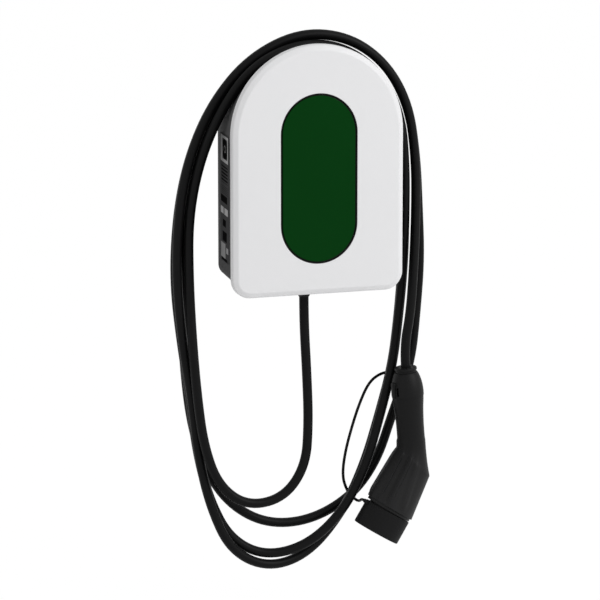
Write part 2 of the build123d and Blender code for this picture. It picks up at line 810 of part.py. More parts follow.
gland_mouth = Vector(0, -gland_reach, gland_end)
cable_points = [gland_mouth, gland_mouth - Vector(0, 0, cable_gland_lead)]
cable_points += [Vector(x, -reach, z) for x, reach, z in cable_route]
cable_points += [plug_origin - grip_way * cable_plug_lead, plug_origin + grip_way * collar_height]
cable_radii = route_radii(cable_points)
with BuildPart() as charging_cable:
    with BuildLine() as cable_path:
        cable_line = FilletPolyline(*cable_points, radius=cable_radii)
    with BuildSketch(Plane(origin=cable_points[0], z_dir=cable_points[1] - cable_points[0])):
        Circle(cable_radius)
    sweep(path=cable_path.line)
cable_length = cable_line.length
cable_section = math.pi * cable_radius**2
print("cable length", round(cable_length), "tightest radius", round(min(cable_radii), 1))
print("cable volume over section times length", charging_cable.part.volume / (cable_section * cable_length))
finish(charging_cable.part, "charging_cable")

# Collar: the nut that grips the cable at the connector's top
with BuildPart() as connector_collar:
    with BuildSketch(grip_plane(0)):
        Circle(collar_radius)
    extrude(amount=collar_height)
    fillet(connector_collar.edges().filter_by(GeomType.CIRCLE), collar_height / 4)
    with BuildSketch(grip_plane(0)):
        Circle(cable_radius + gland_bore_clearance)
    extrude(amount=collar_height, mode=Mode.SUBTRACT)
finish(connector_collar.part, "connector_collar")

# Rear shell: swells below the collar and ends at the seam
with BuildPart() as connector_rear_shell:
    with BuildSketch(grip_plane(collar_height)):
        Circle(collar_radius - gland_bore_clearance)
    with BuildSketch(grip_plane(bulge_distance)):
        Circle(bulge_radius)
    with BuildSketch(grip_plane(rear_shell_length)):
        Circle(seam_radius)
    loft()
    # Lug on the wall side, where the lanyard leaves
    with BuildSketch(Plane(origin=lug_root, x_dir=grip_way, z_dir=-toward_front)):
        Circle(lanyard_lug_radius)
    extrude(amount=lanyard_lug_reach)
    # Low tab on the left side
    shell_tab_middle = plug_origin + grip_way * shell_tab_distance
    with BuildSketch(Plane(origin=shell_tab_middle, x_dir=grip_way, z_dir=grip_way.cross(toward_front))):
        RectangleRounded(shell_tab_height, shell_tab_width, shell_tab_width / 3)
    extrude(amount=bulge_radius + shell_tab_out)
finish(connector_rear_shell.part, "connector_rear_shell")

# Grip and flared head in one moulding. The bend's rings are shares of the way from the
# grip's end to the knee: place, tilt, half width and half depth. Above it, the waist's
# rings are shares of the grip: place, and narrowing from the seam's radius to the waist's.
waist_shares = [(0.25, 0.5), (0.6, 1)]
bend_shares = [(0.356, 0.48, 0.195, 0.21), (0.678, 0.788, 0.553, 0.65), (1, 1, 1, 1)]
# Each rib rises from the head and sinks back: place between knee and end, and height.
# Its side place at the knee and at the end is a share of the half width there.
rib_shares = [(0.02, -0.5), (0.12, 1), (0.8, 1), (0.93, -0.5)]
rib_side_shares = [(-0.82, -0.82), (-0.18, -0.49)]
grip_end = plug_origin + grip_way * grip_length
knee_angle = math.radians(knee_lean)
knee_middle = head_foot + Vector(math.sin(knee_angle), 0, math.cos(knee_angle)) * knee_length


def between(first, last, share):
    """A value or place at a share of the way from the first to the last."""
    return first + (last - first) * share


def leaning_plane(middle, degrees):
    """Plane across the connector, leaning from level: local x is sideways, local y to the front."""
    angle = math.radians(degrees)
    return Plane(
        origin=middle, x_dir=(math.cos(angle), 0, math.sin(angle)), z_dir=(math.sin(angle), 0, -math.cos(angle))
    )


def head_plane(share):
    """Plane across the head at a share of the way from the knee to its end."""
    return leaning_plane(between(knee_middle, head_foot, share), -between(knee_tilt, nose_tilt, share))


with BuildPart() as connector_handle:
    with BuildSketch(leaning_plane(plug_origin + grip_way * rear_shell_length, grip_lean)):
        Circle(seam_radius)
    for place_share, narrow_share in waist_shares:
        waist_middle = plug_origin + grip_way * between(rear_shell_length, grip_length, place_share)
        with BuildSketch(leaning_plane(waist_middle, grip_lean)):
            Circle(between(seam_radius, waist_radius, narrow_share))
    with BuildSketch(leaning_plane(grip_end, grip_lean)):
        Circle(grip_end_radius)
    loft()
    with BuildSketch(leaning_plane(grip_end, grip_lean)):
        Circle(grip_end_radius)
    for place_share, tilt_share, width_share, depth_share in bend_shares:
        ring_middle = between(grip_end, knee_middle, place_share)
        with BuildSketch(leaning_plane(ring_middle, between(grip_lean, -knee_tilt, tilt_share))):
            Ellipse(
                between(grip_end_radius, knee_half_width, width_share),
                between(grip_end_radius, knee_half_depth, depth_share),
            )
    with BuildSketch(leaning_plane(head_foot, -nose_tilt)):
        Circle(head_end_radius)
    loft(ruled=True)
    for (knee_share, end_share), facing in product(rib_side_shares, (-1, 1)):
        for place_share, rise_share in rib_shares:
            half_width = between(knee_half_width, head_end_radius, place_share)
            half_depth = between(knee_half_depth, head_end_radius, place_share)
            side_share = between(knee_share, end_share, place_share)
            side = side_share * half_width
            front = facing * half_depth * math.sqrt(1 - side_share**2)
            outwards = math.atan2(side / half_width**2, front / half_depth**2)
            lift = rise_share * rib_height - rib_width / 2
            with BuildSketch(head_plane(place_share)):
                with Locations((side + lift * math.sin(outwards), front + lift * math.cos(outwards))):
                    Rectangle(rib_width, rib_width, rotation=-math.degrees(outwards))
        loft(ruled=True)
    with BuildSketch(nose_plane(0)):
        Circle(head_end_radius - head_wall)
    extrude(amount=-nose_seat, mode=Mode.SUBTRACT)
finish(connector_handle.part, "connector_handle")

# Nose: D-shaped contact carrier with seven bores, standing on a round neck
contact_places = [
    (-contact_small_pitch / 2, -contact_row),
    (contact_small_pitch / 2, -contact_row),
    (-contact_pitch, 0),
    (0, 0),
    (contact_pitch, 0),
    (-contact_pitch / 2, contact_pitch * math.sin(math.pi / 3)),
    (contact_pitch / 2, contact_pitch * math.sin(math.pi / 3)),
]
with BuildPart() as connector_nose:
    with BuildSketch(nose_plane(-nose_seat)):
        Circle(head_end_radius - head_wall)
    extrude(amount=nose_seat)
    with BuildSketch(nose_plane(0)):
        Circle(neck_radius)
    extrude(amount=neck_height)
    with BuildSketch(nose_plane(neck_height)):
        Circle(nose_radius)
        with Locations((0, -nose_radius - nose_flat)):
            Rectangle(2 * nose_radius, 2 * nose_radius, mode=Mode.SUBTRACT)
    extrude(amount=nose_length)
    with BuildSketch(nose_plane(neck_height + nose_length)):
        with Locations(*contact_places[:2]):
            Circle(contact_small_radius + contact_wall)
        with Locations(*contact_places[2:]):
            Circle(contact_radius + contact_wall)
    extrude(amount=-contact_depth, mode=Mode.SUBTRACT)
finish(connector_nose.part, "connector_nose")

# Contact sleeves at the bottom of the bores
with BuildPart() as contact_sleeves:
    with BuildSketch(nose_plane(neck_height + nose_length - contact_depth)):
        with Locations(*contact_places[:2]):
            Circle(contact_small_radius + contact_wall)
            Circle(contact_small_radius, mode=Mode.SUBTRACT)
        with Locations(*contact_places[2:]):
            Circle(contact_radius + contact_wall)
            Circle(contact_radius, mode=Mode.SUBTRACT)
    extrude(amount=contact_depth - contact_radius)
finish(contact_sleeves.part, "contact_sleeves")

# Protective cap: a crowned cup pushed over the nose, with a tab for its lanyard
cap_rim = neck_height
cap_inner_radius = nose_radius + cap_seat_clearance
cap_cavity_depth = nose_length + cap_seat_clearance
with BuildPart() as protective_cap:
    with BuildSketch(nose_plane(cap_rim)):
        Circle(cap_radius)
    extrude(amount=cap_length)
    fillet(
        protective_cap.faces().sort_by(Axis(tuple(head_foot), tuple(nose_way)))[-1].edges(),
        cap_crown,
    )
    with BuildSketch(nose_plane(cap_rim)):
        Circle(cap_inner_radius)
    extrude(amount=cap_cavity_depth, mode=Mode.SUBTRACT)
    with BuildSketch(nose_plane(cap_rim)):
        with Locations((0, cap_radius + cap_tab_length / 2 - cap_wall / 2)):
            Rectangle(cap_tab_width, cap_tab_length + cap_wall)
    extrude(amount=cap_tab_thickness)
finish(protective_cap.part, "protective_cap")

# Lanyard: from the lug, behind the hanging strands, to the back face of the cap's tab
tab_middle = nose_plane(cap_rim + cap_tab_thickness / 2)
tab_back = (
    tab_middle.origin
    + tab_middle.y_dir * (cap_radius + cap_tab_length / 2)
    - toward_front * (cap_tab_width / 2)
)
lanyard_route = [
    (144, 21, -316), (128, 19.5, -318), (110, 22, -329), (95, 24.5, -357),
    (81.5, 25, -396), (71.5, 25, -434), (69, 23, -466), (76.5, 21.5, -487), (83.5, 22, -496),
    (89, 29, -501.5), (89.5, 41, -499.5),
]
lanyard_points = [lug_end, lug_end - toward_front * lanyard_lead]
lanyard_points += [Vector(x, -reach, z) for x, reach, z in lanyard_route]
lanyard_points += [tab_back - toward_front * lanyard_lead, tab_back]
lanyard_radii = route_radii(lanyard_points)
with BuildPart() as lanyard:
    with BuildLine() as lanyard_path:
        lanyard_line = FilletPolyline(*lanyard_points, radius=lanyard_radii)
    with BuildSketch(Plane(origin=lug_end, z_dir=lanyard_points[1] - lug_end)):
        Circle(lanyard_diameter / 2)
    sweep(path=lanyard_path.line)
print("lanyard length", round(lanyard_line.length), "tightest radius", round(min(lanyard_radii), 1))
finish(lanyard.part, "lanyard")
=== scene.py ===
# %% [markdown]
# # A wall charging unit with its cable hung over it
#
# This lesson dresses the rigid frame of a car charging unit. The frame comes from the
# CAD model and stays as it is. Here every visible piece gets a smooth mesh with real
# edges, and every surface gets a material made of nodes.
#
# The order is: camera and light, the cable (the hardest thing to place), the unit, the
# vehicle connector, and last the finishes. All lengths are metres: the wall is the
# plane y = 0, the front of the unit faces -y, and z is up.

# %% Load the frame
import math
import bpy
import bmesh
from mathutils import Matrix, Vector


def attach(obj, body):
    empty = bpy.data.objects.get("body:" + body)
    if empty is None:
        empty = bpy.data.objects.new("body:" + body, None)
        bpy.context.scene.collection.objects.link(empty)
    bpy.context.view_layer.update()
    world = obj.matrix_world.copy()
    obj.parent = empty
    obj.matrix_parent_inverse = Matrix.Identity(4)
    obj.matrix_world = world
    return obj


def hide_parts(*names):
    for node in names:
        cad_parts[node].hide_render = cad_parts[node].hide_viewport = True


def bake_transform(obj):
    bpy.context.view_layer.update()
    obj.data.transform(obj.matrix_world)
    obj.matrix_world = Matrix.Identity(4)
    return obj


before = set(bpy.data.objects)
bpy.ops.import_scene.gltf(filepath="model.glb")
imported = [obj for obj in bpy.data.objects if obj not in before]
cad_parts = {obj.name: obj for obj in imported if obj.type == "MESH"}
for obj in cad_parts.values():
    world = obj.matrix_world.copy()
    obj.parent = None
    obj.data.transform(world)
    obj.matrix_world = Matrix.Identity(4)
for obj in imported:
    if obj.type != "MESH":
        bpy.data.objects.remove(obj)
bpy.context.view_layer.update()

nodes = {name: bpy.data.objects[name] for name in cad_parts}
print("frame nodes:", len(nodes))

# %% [markdown]
# ## Camera
#
# The unit was photographed from the left and a little above, from far away: its
# semicircular top is still almost a true semicircle. A long lens at five metres gives
# that flat look. A short lens nearby would make the near edge of the cover larger.

# %% Camera
camera_data = bpy.data.cameras.new("camera")
camera_data.lens = 215.3
camera_data.sensor_width = 36
camera = bpy.data.objects.new("camera", camera_data)
camera.location = (-1.6376, -4.7785, 0.7736)
camera.rotation_euler = (math.radians(90 - 10.968), 0, math.radians(-19.047))
bpy.context.scene.collection.objects.link(camera)
bpy.context.scene.camera = camera
bpy.context.scene.view_settings.view_transform = "Standard"
print("camera lens:", camera_data.lens, "mm")

# %% [markdown]
# ## Material helper
#
# A node material is easier to read as a formula. `Value` wraps one output of a node:
# adding or multiplying two of them adds a Math node behind the scenes.

# %% Sockets as values
class Value:
    """One output socket; arithmetic on it adds Math nodes."""

    def __init__(self, home, socket):
        self.home = home
        self.socket = socket

    def math(self, operation, *others):
        return self.home.node("Math", {"operation": operation}, [self, *others])[0]

    def __add__(self, other):
        return self.math("ADD", other)

    __radd__ = __add__

    def __mul__(self, other):
        return self.math("MULTIPLY", other)

    __rmul__ = __mul__

    def __sub__(self, other):
        return self.math("SUBTRACT", other)

    def __rsub__(self, other):
        return self.home.node("Math", {"operation": "SUBTRACT"}, [other, self])[0]

    def under(self, other):
        return self.math("LESS_THAN", other)

    def over(self, other):
        return self.math("GREATER_THAN", other)

    def within(self, low, high):
        return self.over(low) * self.under(high)


class Outputs:
    """The outputs of a new node, by number or name."""

    def __init__(self, home, node):
        self.home = home
        self.node = node

    def __getitem__(self, key):
        return Value(self.home, self.node.outputs[key])


def ready(*helpers):
    print("ready:", *[helper.__name__ for helper in helpers])


ready(Value, Outputs)

# %% [markdown]
# ### Nodes and materials
#
# `Nodes` adds any other node, with its settings first, then its inputs. `Finish` makes
# a material, and its patterns sit still on the piece when the piece moves.

# %% Nodes and materials
class Nodes:
    """Adds nodes to one node tree."""

    def __init__(self, tree):
        self.tree = tree

    def node(self, kind, settings, inputs):
        made = self.tree.nodes.new("ShaderNode" + kind)
        for name, value in settings.items():
            setattr(made, name, value)
        pairs = inputs.items() if isinstance(inputs, dict) else enumerate(inputs)
        for slot, value in pairs:
            self.feed(made.inputs[slot], value)
        return Outputs(self, made)

    def feed(self, socket, value):
        if isinstance(value, Value):
            self.tree.links.new(value.socket, socket)
        else:
            socket.default_value = value

    def direct(self):
        """One for camera, glossy and transmission rays, and zero for all others."""
        path = self.node("LightPath", {}, {})
        seen = path["Is Camera Ray"].math("MAXIMUM", path["Is Glossy Ray"])
        return seen.math("MAXIMUM", path["Is Transmission Ray"])


class Finish(Nodes):
    """A node material with one principled shader."""

    def __init__(self, name, colour, roughness, **fixed):
        self.material = bpy.data.materials.new(name)
        self.material.use_nodes = True
        super().__init__(self.material.node_tree)
        self.shader = self.tree.nodes["Principled BSDF"]
        self.set("Base Color", (*colour, 1))
        self.set("Roughness", roughness)
        for socket, value in fixed.items():
            self.set(socket.replace("_", " "), value)
        self.place = self.node("TexCoord", {}, {})["Object"]

    def set(self, name, value):
        self.feed(self.shader.inputs[name], value)

    def noise(self, scale, detail=3.0):
        inputs = {"Vector": self.place, "Scale": scale, "Detail": detail}
        return self.node("TexNoise", {}, inputs)[0]

    def axes(self):
        made = self.node("SeparateXYZ", {}, {"Vector": self.place})
        return made["X"], made["Y"], made["Z"]

    def mix(self, factor, *colours):
        """A blend of two colours, each a value or three numbers."""
        first, second = [c if isinstance(c, Value) else (*c, 1) for c in colours]
        return self.node("Mix", {"data_type": "RGBA"}, {0: factor, 6: first, 7: second})[2]

    def bump(self, height, distance, strength=1.0):
        inputs = {"Height": height, "Distance": distance, "Strength": strength}
        self.set("Normal", self.node("Bump", {}, inputs)["Normal"])


ready(Nodes, Finish)

# %% [markdown]
# ## Floor, background and light
#
# Product photos of white appliances use a white surround and very soft light, so that
# black parts stay black and the white front does not burn out. The floor and the world
# are white for the camera and for reflections only. Two large soft lamps light the
# piece: the main one from the front right, a weak one from the left, which leaves the
# left rim of the cover a shade darker than its front.

# %% Floor, world and lamps
floor_height = -0.66
bpy.ops.mesh.primitive_plane_add(size=30, location=(0, 0, floor_height))
floor = bpy.context.object
floor.name = "floor"
white = (1, 1, 1, 1)
floor_glow = 1.02
floor_glow_share = 0.96
floor_finish = Finish("floor white", (0.86, 0.86, 0.86), 0.7)
glow = floor_finish.node("Emission", {}, {"Color": white, "Strength": floor_glow})
matt = Value(floor_finish, floor_finish.shader.outputs[0])
blend = floor_finish.node(
    "MixShader", {}, [floor_finish.direct() * floor_glow_share, matt, glow[0]]
)
floor_finish.feed(floor_finish.tree.nodes["Material Output"].inputs["Surface"], blend[0])
floor.data.materials.append(floor_finish.material)

ambient = 0.5
world = bpy.data.worlds.new("studio")
bpy.context.scene.world = world
world.use_nodes = True
sky = Nodes(world.node_tree)
background = sky.tree.nodes["Background"]
sky.feed(background.inputs["Color"], white)
sky.feed(background.inputs["Strength"], sky.direct() * (1 - ambient) + ambient)


def soft_lamp(name, place, aim, size, power):
    """A square soft lamp that looks at a point."""
    data = bpy.data.lights.new(name, "AREA")
    data.shape = "SQUARE"
    data.size = size
    data.energy = power
    lamp = bpy.data.objects.new(name, data)
    lamp.location = place
    lamp.rotation_euler = (Vector(aim) - Vector(place)).to_track_quat("-Z", "Y").to_euler()
    bpy.context.scene.collection.objects.link(lamp)


soft_lamp("main lamp", (2.6, -2.8, 1.8), (0, 0, -0.1), 2.2, 92)
soft_lamp("left lamp", (-3.2, -1.4, 0.9), (0, 0, -0.2), 2.4, 11)

# %% [markdown]
# ## The charging cable
#
# Seven metres of stiff cable hang over the housing in four turns. A stiff cable bends
# in wide, even curves, so its line is one smooth spline through a list of points, from
# the outlet under the unit to the connector. Two turns lie in front, two behind them,
# and each turn has its own loop below.

# %% Route of the cable
cable_thickness = 0.0136
outlet_reach = 0.052
cable_route = [
    (0, -outlet_reach, -0.186), (0, -outlet_reach, -0.226), (0.003, -0.056, -0.3), (0.005, -0.058, -0.372),
    (0.001, -0.058, -0.436), (-0.032, -0.058, -0.481), (-0.087, -0.058, -0.489), (-0.13, -0.058, -0.456),
    (-0.152, -0.059, -0.396), (-0.162, -0.06, -0.322), (-0.168, -0.058, -0.244), (-0.17, -0.05, -0.158),
    (-0.169, -0.046, -0.072), (-0.155, -0.05, 0.006), (-0.128, -0.059, 0.077), (-0.081, -0.062, 0.142),
    (-0.008, -0.055, 0.172), (0.062, -0.047, 0.163), (0.117, -0.046, 0.122), (0.148, -0.046, 0.062),
    (0.155, -0.046, -0.01), (0.155, -0.046, -0.084), (0.153, -0.046, -0.158), (0.146, -0.046, -0.23),
    (0.137, -0.046, -0.303), (0.117, -0.046, -0.378), (0.097, -0.046, -0.446), (0.062, -0.046, -0.512),
    (0.008, -0.045, -0.558), (-0.054, -0.036, -0.571), (-0.105, -0.03, -0.542), (-0.136, -0.03, -0.48),
    (-0.154, -0.03, -0.408), (-0.163, -0.03, -0.33), (-0.176, -0.03, -0.248), (-0.186, -0.031, -0.16),
    (-0.181, -0.031, -0.068), (-0.164, -0.031, 0.012), (-0.131, -0.032, 0.086), (-0.078, -0.032, 0.147),
    (-0.005, -0.032, 0.182), (0.068, -0.031, 0.176), (0.128, -0.031, 0.138), (0.165, -0.031, 0.074),
    (0.177, -0.031, -0.002), (0.181, -0.031, -0.078), (0.186, -0.026, -0.152), (0.184, -0.017, -0.23),
    (0.178, -0.012, -0.308), (0.15, -0.012, -0.38), (0.126, -0.012, -0.45), (0.086, -0.012, -0.5),
    (0.024, -0.012, -0.53), (-0.042, -0.012, -0.53), (-0.097, -0.012, -0.498), (-0.134, -0.012, -0.445),
    (-0.155, -0.012, -0.378), (-0.165, -0.013, -0.305), (-0.17, -0.016, -0.228), (-0.17, -0.025, -0.15),
    (-0.166, -0.031, -0.074), (-0.151, -0.025, 0.002), (-0.124, -0.017, 0.076), (-0.079, -0.017, 0.138),
    (-0.006, -0.024, 0.168), (0.062, -0.03, 0.16), (0.117, -0.031, 0.12), (0.149, -0.031, 0.06),
    (0.158, -0.031, -0.012), (0.159, -0.031, -0.086), (0.157, -0.031, -0.16), (0.151, -0.031, -0.233),
    (0.142, -0.031, -0.305), (0.122, -0.03, -0.378), (0.101, -0.03, -0.446), (0.068, -0.031, -0.514),
    (0.014, -0.032, -0.574), (-0.05, -0.039, -0.588), (-0.108, -0.045, -0.556), (-0.138, -0.045, -0.49),
    (-0.156, -0.045, -0.414), (-0.164, -0.045, -0.336), (-0.178, -0.045, -0.252), (-0.187, -0.046, -0.158),
    (-0.1845, -0.046, -0.072), (-0.171, -0.046, 0.006), (-0.138, -0.047, 0.084), (-0.084, -0.047, 0.149),
    (-0.008, -0.046, 0.185), (0.066, -0.046, 0.178), (0.124, -0.046, 0.138), (0.16, -0.046, 0.076),
    (0.171, -0.046, -0.002), (0.169, -0.053, -0.076), (0.163, -0.062, -0.15), (0.156, -0.068, -0.222),
    (0.1464, -0.068, -0.2711), (0.1495, -0.068, -0.307),
]
print("points on the route:", len(cable_route))

# %% [markdown]
# ### From route to cable
#
# The spline's own points are read back, and a ring of vertices is set round each one.
# Each ring turns as little as it can, so the tube never twists. Operators act on all
# that is selected, so each step starts by deselecting.

# %% Charging cable
def points_along(route):
    """The points of one open spline that follows a route in wide curves."""
    curve = bpy.data.curves.new("route", "CURVE")
    curve.dimensions = "3D"
    spline = curve.splines.new("NURBS")
    spline.points.add(len(route) - 1)
    for knot, point in zip(spline.points, route):
        knot.co = (*point, 1)
    spline.order_u = 3
    spline.use_endpoint_u = True
    curve.resolution_u = 8
    line = bpy.data.objects.new("route", curve)
    bpy.context.scene.collection.objects.link(line)
    mesh = bpy.data.meshes.new_from_object(line)
    points = [v.co.copy() for v in mesh.vertices]
    bpy.data.meshes.remove(mesh)
    bpy.data.objects.remove(line, do_unlink=True)
    return points


def start_clean():
    if bpy.context.object and bpy.context.object.mode != "OBJECT":
        bpy.ops.object.mode_set(mode="OBJECT")
    bpy.ops.object.select_all(action="DESELECT")


def choose(*pieces):
    """Selects these pieces alone; the first one is the active one."""
    start_clean()
    for piece in pieces:
        piece.select_set(True)
    bpy.context.view_layer.objects.active = pieces[0]


def tube(name, points, radius, count=14):
    """A round tube along points, its rings turned as little as possible."""
    mesh = bmesh.new()
    across = Vector((0, 0, 1))
    rings = []
    for index, point in enumerate(points):
        before = points[max(index - 1, 0)]
        after = points[min(index + 1, len(points) - 1)]
        way = (after - before).normalized()
        across = (across - way * across.dot(way)).normalized()
        other = way.cross(across)
        rings.append([
            mesh.verts.new(point + (across * math.cos(t) + other * math.sin(t)) * radius)
            for t in [2 * math.pi * k / count for k in range(count)]
        ])
    for lower, upper in zip(rings, rings[1:]):
        for k in range(count):
            mesh.faces.new((lower[k], lower[(k + 1) % count], upper[(k + 1) % count], upper[k]))
    mesh.faces.new(rings[0][::-1])
    mesh.faces.new(rings[-1])
    bmesh.ops.recalc_face_normals(mesh, faces=mesh.faces)
    data = bpy.data.meshes.new(name)
    mesh.to_mesh(data)
    mesh.free()
    made = bpy.data.objects.new(name, data)
    bpy.context.scene.collection.objects.link(made)
    choose(made)
    bpy.ops.object.shade_smooth_by_angle(angle=math.radians(50))
    return made


cable_points = points_along(cable_route)
charging_cord = tube("charging_cord", cable_points, cable_thickness / 2, 24)
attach(charging_cord, "unit")
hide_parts("charging_cable")

# %% [markdown]
# ## Tools for modelling
#
# The `pick` helper selects vertices, edges or faces by where they are, as a hand would.
# A hair is how near a place counts as being there.

# %% Selecting by place
hair = 0.0001


def edit(piece):
    choose(piece)
    bpy.ops.object.mode_set(mode="EDIT")


def pick(piece, kind, test):
    """In edit mode, selects the vertices, edges or faces whose middle passes the test."""
    bpy.context.tool_settings.mesh_select_mode = (kind == "verts", kind == "edges", kind == "faces")
    bpy.ops.mesh.select_all(action="DESELECT")
    mesh = bmesh.from_edit_mesh(piece.data)
    found = 0
    for part in getattr(mesh, kind):
        if kind == "verts":
            middle = part.co
        elif kind == "edges":
            middle = (part.verts[0].co + part.verts[1].co) / 2
        else:
            middle = part.calc_center_median()
        if test(middle, part):
            part.select_set(True)
            found += 1
    bmesh.update_edit_mesh(piece.data)
    return found


print("a hair is", 1000 * hair, "mm")

# %% [markdown]
# ### Changing a piece
#
# A cut merges doubled vertices first, because open edges spoil it. Each piece is closed
# up at the end: its edges stay crisp and its large flat faces stay flat in the light.

# %% Changing a piece
def outward(piece):
    """Merges doubled vertices and turns every face outwards."""
    edit(piece)
    bpy.ops.mesh.select_all(action="SELECT")
    bpy.ops.mesh.remove_doubles(threshold=0.00001)
    bpy.ops.mesh.normals_make_consistent(inside=False)
    bpy.ops.object.mode_set(mode="OBJECT")


def modify(piece, kind, **settings):
    """Adds a modifier and applies it."""
    choose(piece)
    modifier = piece.modifiers.new(kind.lower(), kind)
    for name, value in settings.items():
        setattr(modifier, name, value)
    bpy.ops.object.modifier_apply(modifier=modifier.name)


def close_up(piece, angle=32):
    """Faces outwards, smooth shading with crisp edges, and even normals on big flat faces."""
    outward(piece)
    bpy.ops.object.shade_smooth_by_angle(angle=math.radians(angle))
    modify(piece, "WEIGHTED_NORMAL", keep_sharp=True)


def cut(piece, cutter):
    """Takes the cutter's shape out of a piece and removes the cutter."""
    outward(piece)
    outward(cutter)
    modify(piece, "BOOLEAN", operation="DIFFERENCE", solver="EXACT", object=cutter)
    bpy.data.objects.remove(cutter, do_unlink=True)


ready(outward, modify, close_up, cut)

# %% [markdown]
# ### Bars and blocks
#
# Small parts such as tabs and lugs start as bars and blocks. Their edges are rounded
# before they are set down, because a joined edge is hard to pick.

# %% Bars and blocks
def cylinder(radius, depth, place, turn=(0, 0, 0), count=40):
    """A round bar with its middle at a place."""
    start_clean()
    bpy.ops.mesh.primitive_cylinder_add(
        vertices=count, radius=radius, depth=depth, location=place, rotation=turn
    )
    return bpy.context.object


def round_edges(piece, radius, segments, test):
    """Rounds the edges that pass the test and says how many they were."""
    edit(piece)
    found = pick(piece, "edges", test)
    bpy.ops.mesh.bevel(offset=radius, segments=segments, profile=0.5, affect="EDGES")
    bpy.ops.object.mode_set(mode="OBJECT")
    return found


def rounded_block(name, size, radius, segments):
    """A block at the origin with all its edges rounded."""
    start_clean()
    bpy.ops.mesh.primitive_cube_add(size=1)
    block = bpy.context.object
    block.name = name
    block.scale = size
    bpy.ops.object.transform_apply(location=False, rotation=False, scale=True)
    round_edges(block, radius, segments, lambda p, e: True)
    return block


def set_down(piece, place, across, side, along):
    """Turns a piece at the origin to three directions and moves it to a place."""
    turn = Matrix((across, side, along)).transposed().to_4x4()
    piece.data.transform(Matrix.Translation(place) @ turn)


def join(*pieces):
    """Makes the first piece take in the others."""
    choose(*pieces)
    bpy.ops.object.join()


ready(cylinder, round_edges, rounded_block, set_down, join)

# %% [markdown]
# ### Plates, and handing over
#
# Cover, window and housing start as flat faces with rounded corners that are pulled back.
# A finished piece is dressed: it is put on the body it rides on, and the pieces of the
# frame that it stands for are hidden.

# %% Plates, and handing over
def upright_plate(name, width, foot, top, reach, corners):
    """A flat face to the front, with rounded corners: (test, radius, segments) for each group."""
    start_clean()
    bpy.ops.mesh.primitive_plane_add(size=1, rotation=(math.radians(90), 0, 0))
    plate = bpy.context.object
    plate.name = name
    plate.location = (0, -reach, (foot + top) / 2)
    plate.scale = (width, top - foot, 1)
    bpy.ops.object.transform_apply(location=True, rotation=True, scale=True)
    edit(plate)
    for test, radius, segments in corners:
        pick(plate, "verts", test)
        bpy.ops.mesh.bevel(offset=radius * 0.9999, segments=segments, profile=0.5, affect="VERTICES")
    bpy.ops.mesh.select_all(action="SELECT")
    bpy.ops.mesh.remove_doubles(threshold=hair)
    bpy.ops.object.mode_set(mode="OBJECT")
    return plate


def arch_plate(name, half_width, foot, arch_middle, corner, reach):
    """A face with a semicircular top and rounded lower corners."""
    return upright_plate(
        name, 2 * half_width, foot, arch_middle + half_width, reach,
        [
            (lambda p, v: p.z > arch_middle, half_width, 56),
            (lambda p, v: p.z < foot + hair, corner, 14),
        ],
    )


def slot_plate(name, width, height, middle, reach):
    """A face with two round ends."""
    return upright_plate(
        name, width, middle - height / 2, middle + height / 2, reach,
        [(lambda p, v: True, width / 2, 28)],
    )


def deepen(piece, depth):
    """Pulls a flat face back into a block."""
    edit(piece)
    bpy.ops.mesh.select_all(action="SELECT")
    bpy.ops.mesh.extrude_region_move(TRANSFORM_OT_translate={"value": (0, depth, 0)})
    outward(piece)


def dress(piece, body, slot, *replaced):
    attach(piece, body)
    if replaced:
        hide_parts(*replaced)
    piece.data.update()
    size = [round(1000 * d, 1) for d in piece.dimensions]
    print(piece.name, "faces:", len(piece.data.polygons), "size mm:", size)


ready(upright_plate, arch_plate, slot_plate, deepen, dress)

# %% [markdown]
# ## Front cover
#
# The cover is one white moulding: an arch with a shallow rim that slopes back, and an
# opening for the window. A flat face whose two top corners are rounded by half its width
# gives a true semicircle, which a scaled circle would only give after cutting it.

# %% Front cover
unit_depth = 0.118
cover_half_width = 0.126
cover_foot = -0.176
cover_arch = 0.05
cover_corner = 0.026
cover_depth = 0.014
cover_wall = 0.003
rim_width = 0.0075
rim_drop = 0.004
rim_reach = unit_depth - rim_drop
front_cover = arch_plate(
    "front_cover_shell", cover_half_width, cover_foot, cover_arch, cover_corner, rim_reach
)
deepen(front_cover, cover_depth - rim_drop)
edit(front_cover)
pick(front_cover, "faces", lambda p, f: p.y > -unit_depth + cover_depth - hair)
bpy.ops.mesh.delete(type="ONLY_FACE")
pick(front_cover, "faces", lambda p, f: p.y < -rim_reach + hair)
bpy.ops.mesh.inset(thickness=rim_width, use_even_offset=True)
bpy.ops.transform.translate(value=(0, -rim_drop, 0))
for reach, rounding in ((rim_reach, 0.0018), (unit_depth, 0.0012)):
    found = round_edges(
        front_cover, rounding, 4, lambda p, e: all(abs(v.co.y + reach) < hair for v in e.verts)
    )
    print("rim edges rounded:", found)
modify(front_cover, "SOLIDIFY", thickness=cover_wall, offset=-1, use_even_offset=True)

# %% [markdown]
# ### Openings in the cover
#
# The window's opening is cut with a slot-shaped block, and its edge is rounded after the
# cut. Two recessed screw holes in the foot hold the cover to the housing.

# %% Openings in the cover
window_width = 0.113
window_height = 0.24
window_middle = -0.012
window_cutter = slot_plate("window_cutter", window_width, window_height, window_middle, unit_depth + 0.005)
deepen(window_cutter, 0.012)
cut(front_cover, window_cutter)


def on_window_edge(p, e):
    """An edge between the cover's front and the wall of the window's opening."""
    half_width = window_width / 2 + 3 * hair
    half_height = window_height / 2 + 3 * hair
    at_opening = all(
        v.co.y < -unit_depth + hair and abs(v.co.x) < half_width
        and abs(v.co.z - window_middle) < half_height
        for v in e.verts
    )
    return (
        at_opening and e.calc_length() < 0.16 and len(e.link_faces) == 2
        and abs(e.link_faces[0].normal.y) + abs(e.link_faces[1].normal.y) < 1.1
    )


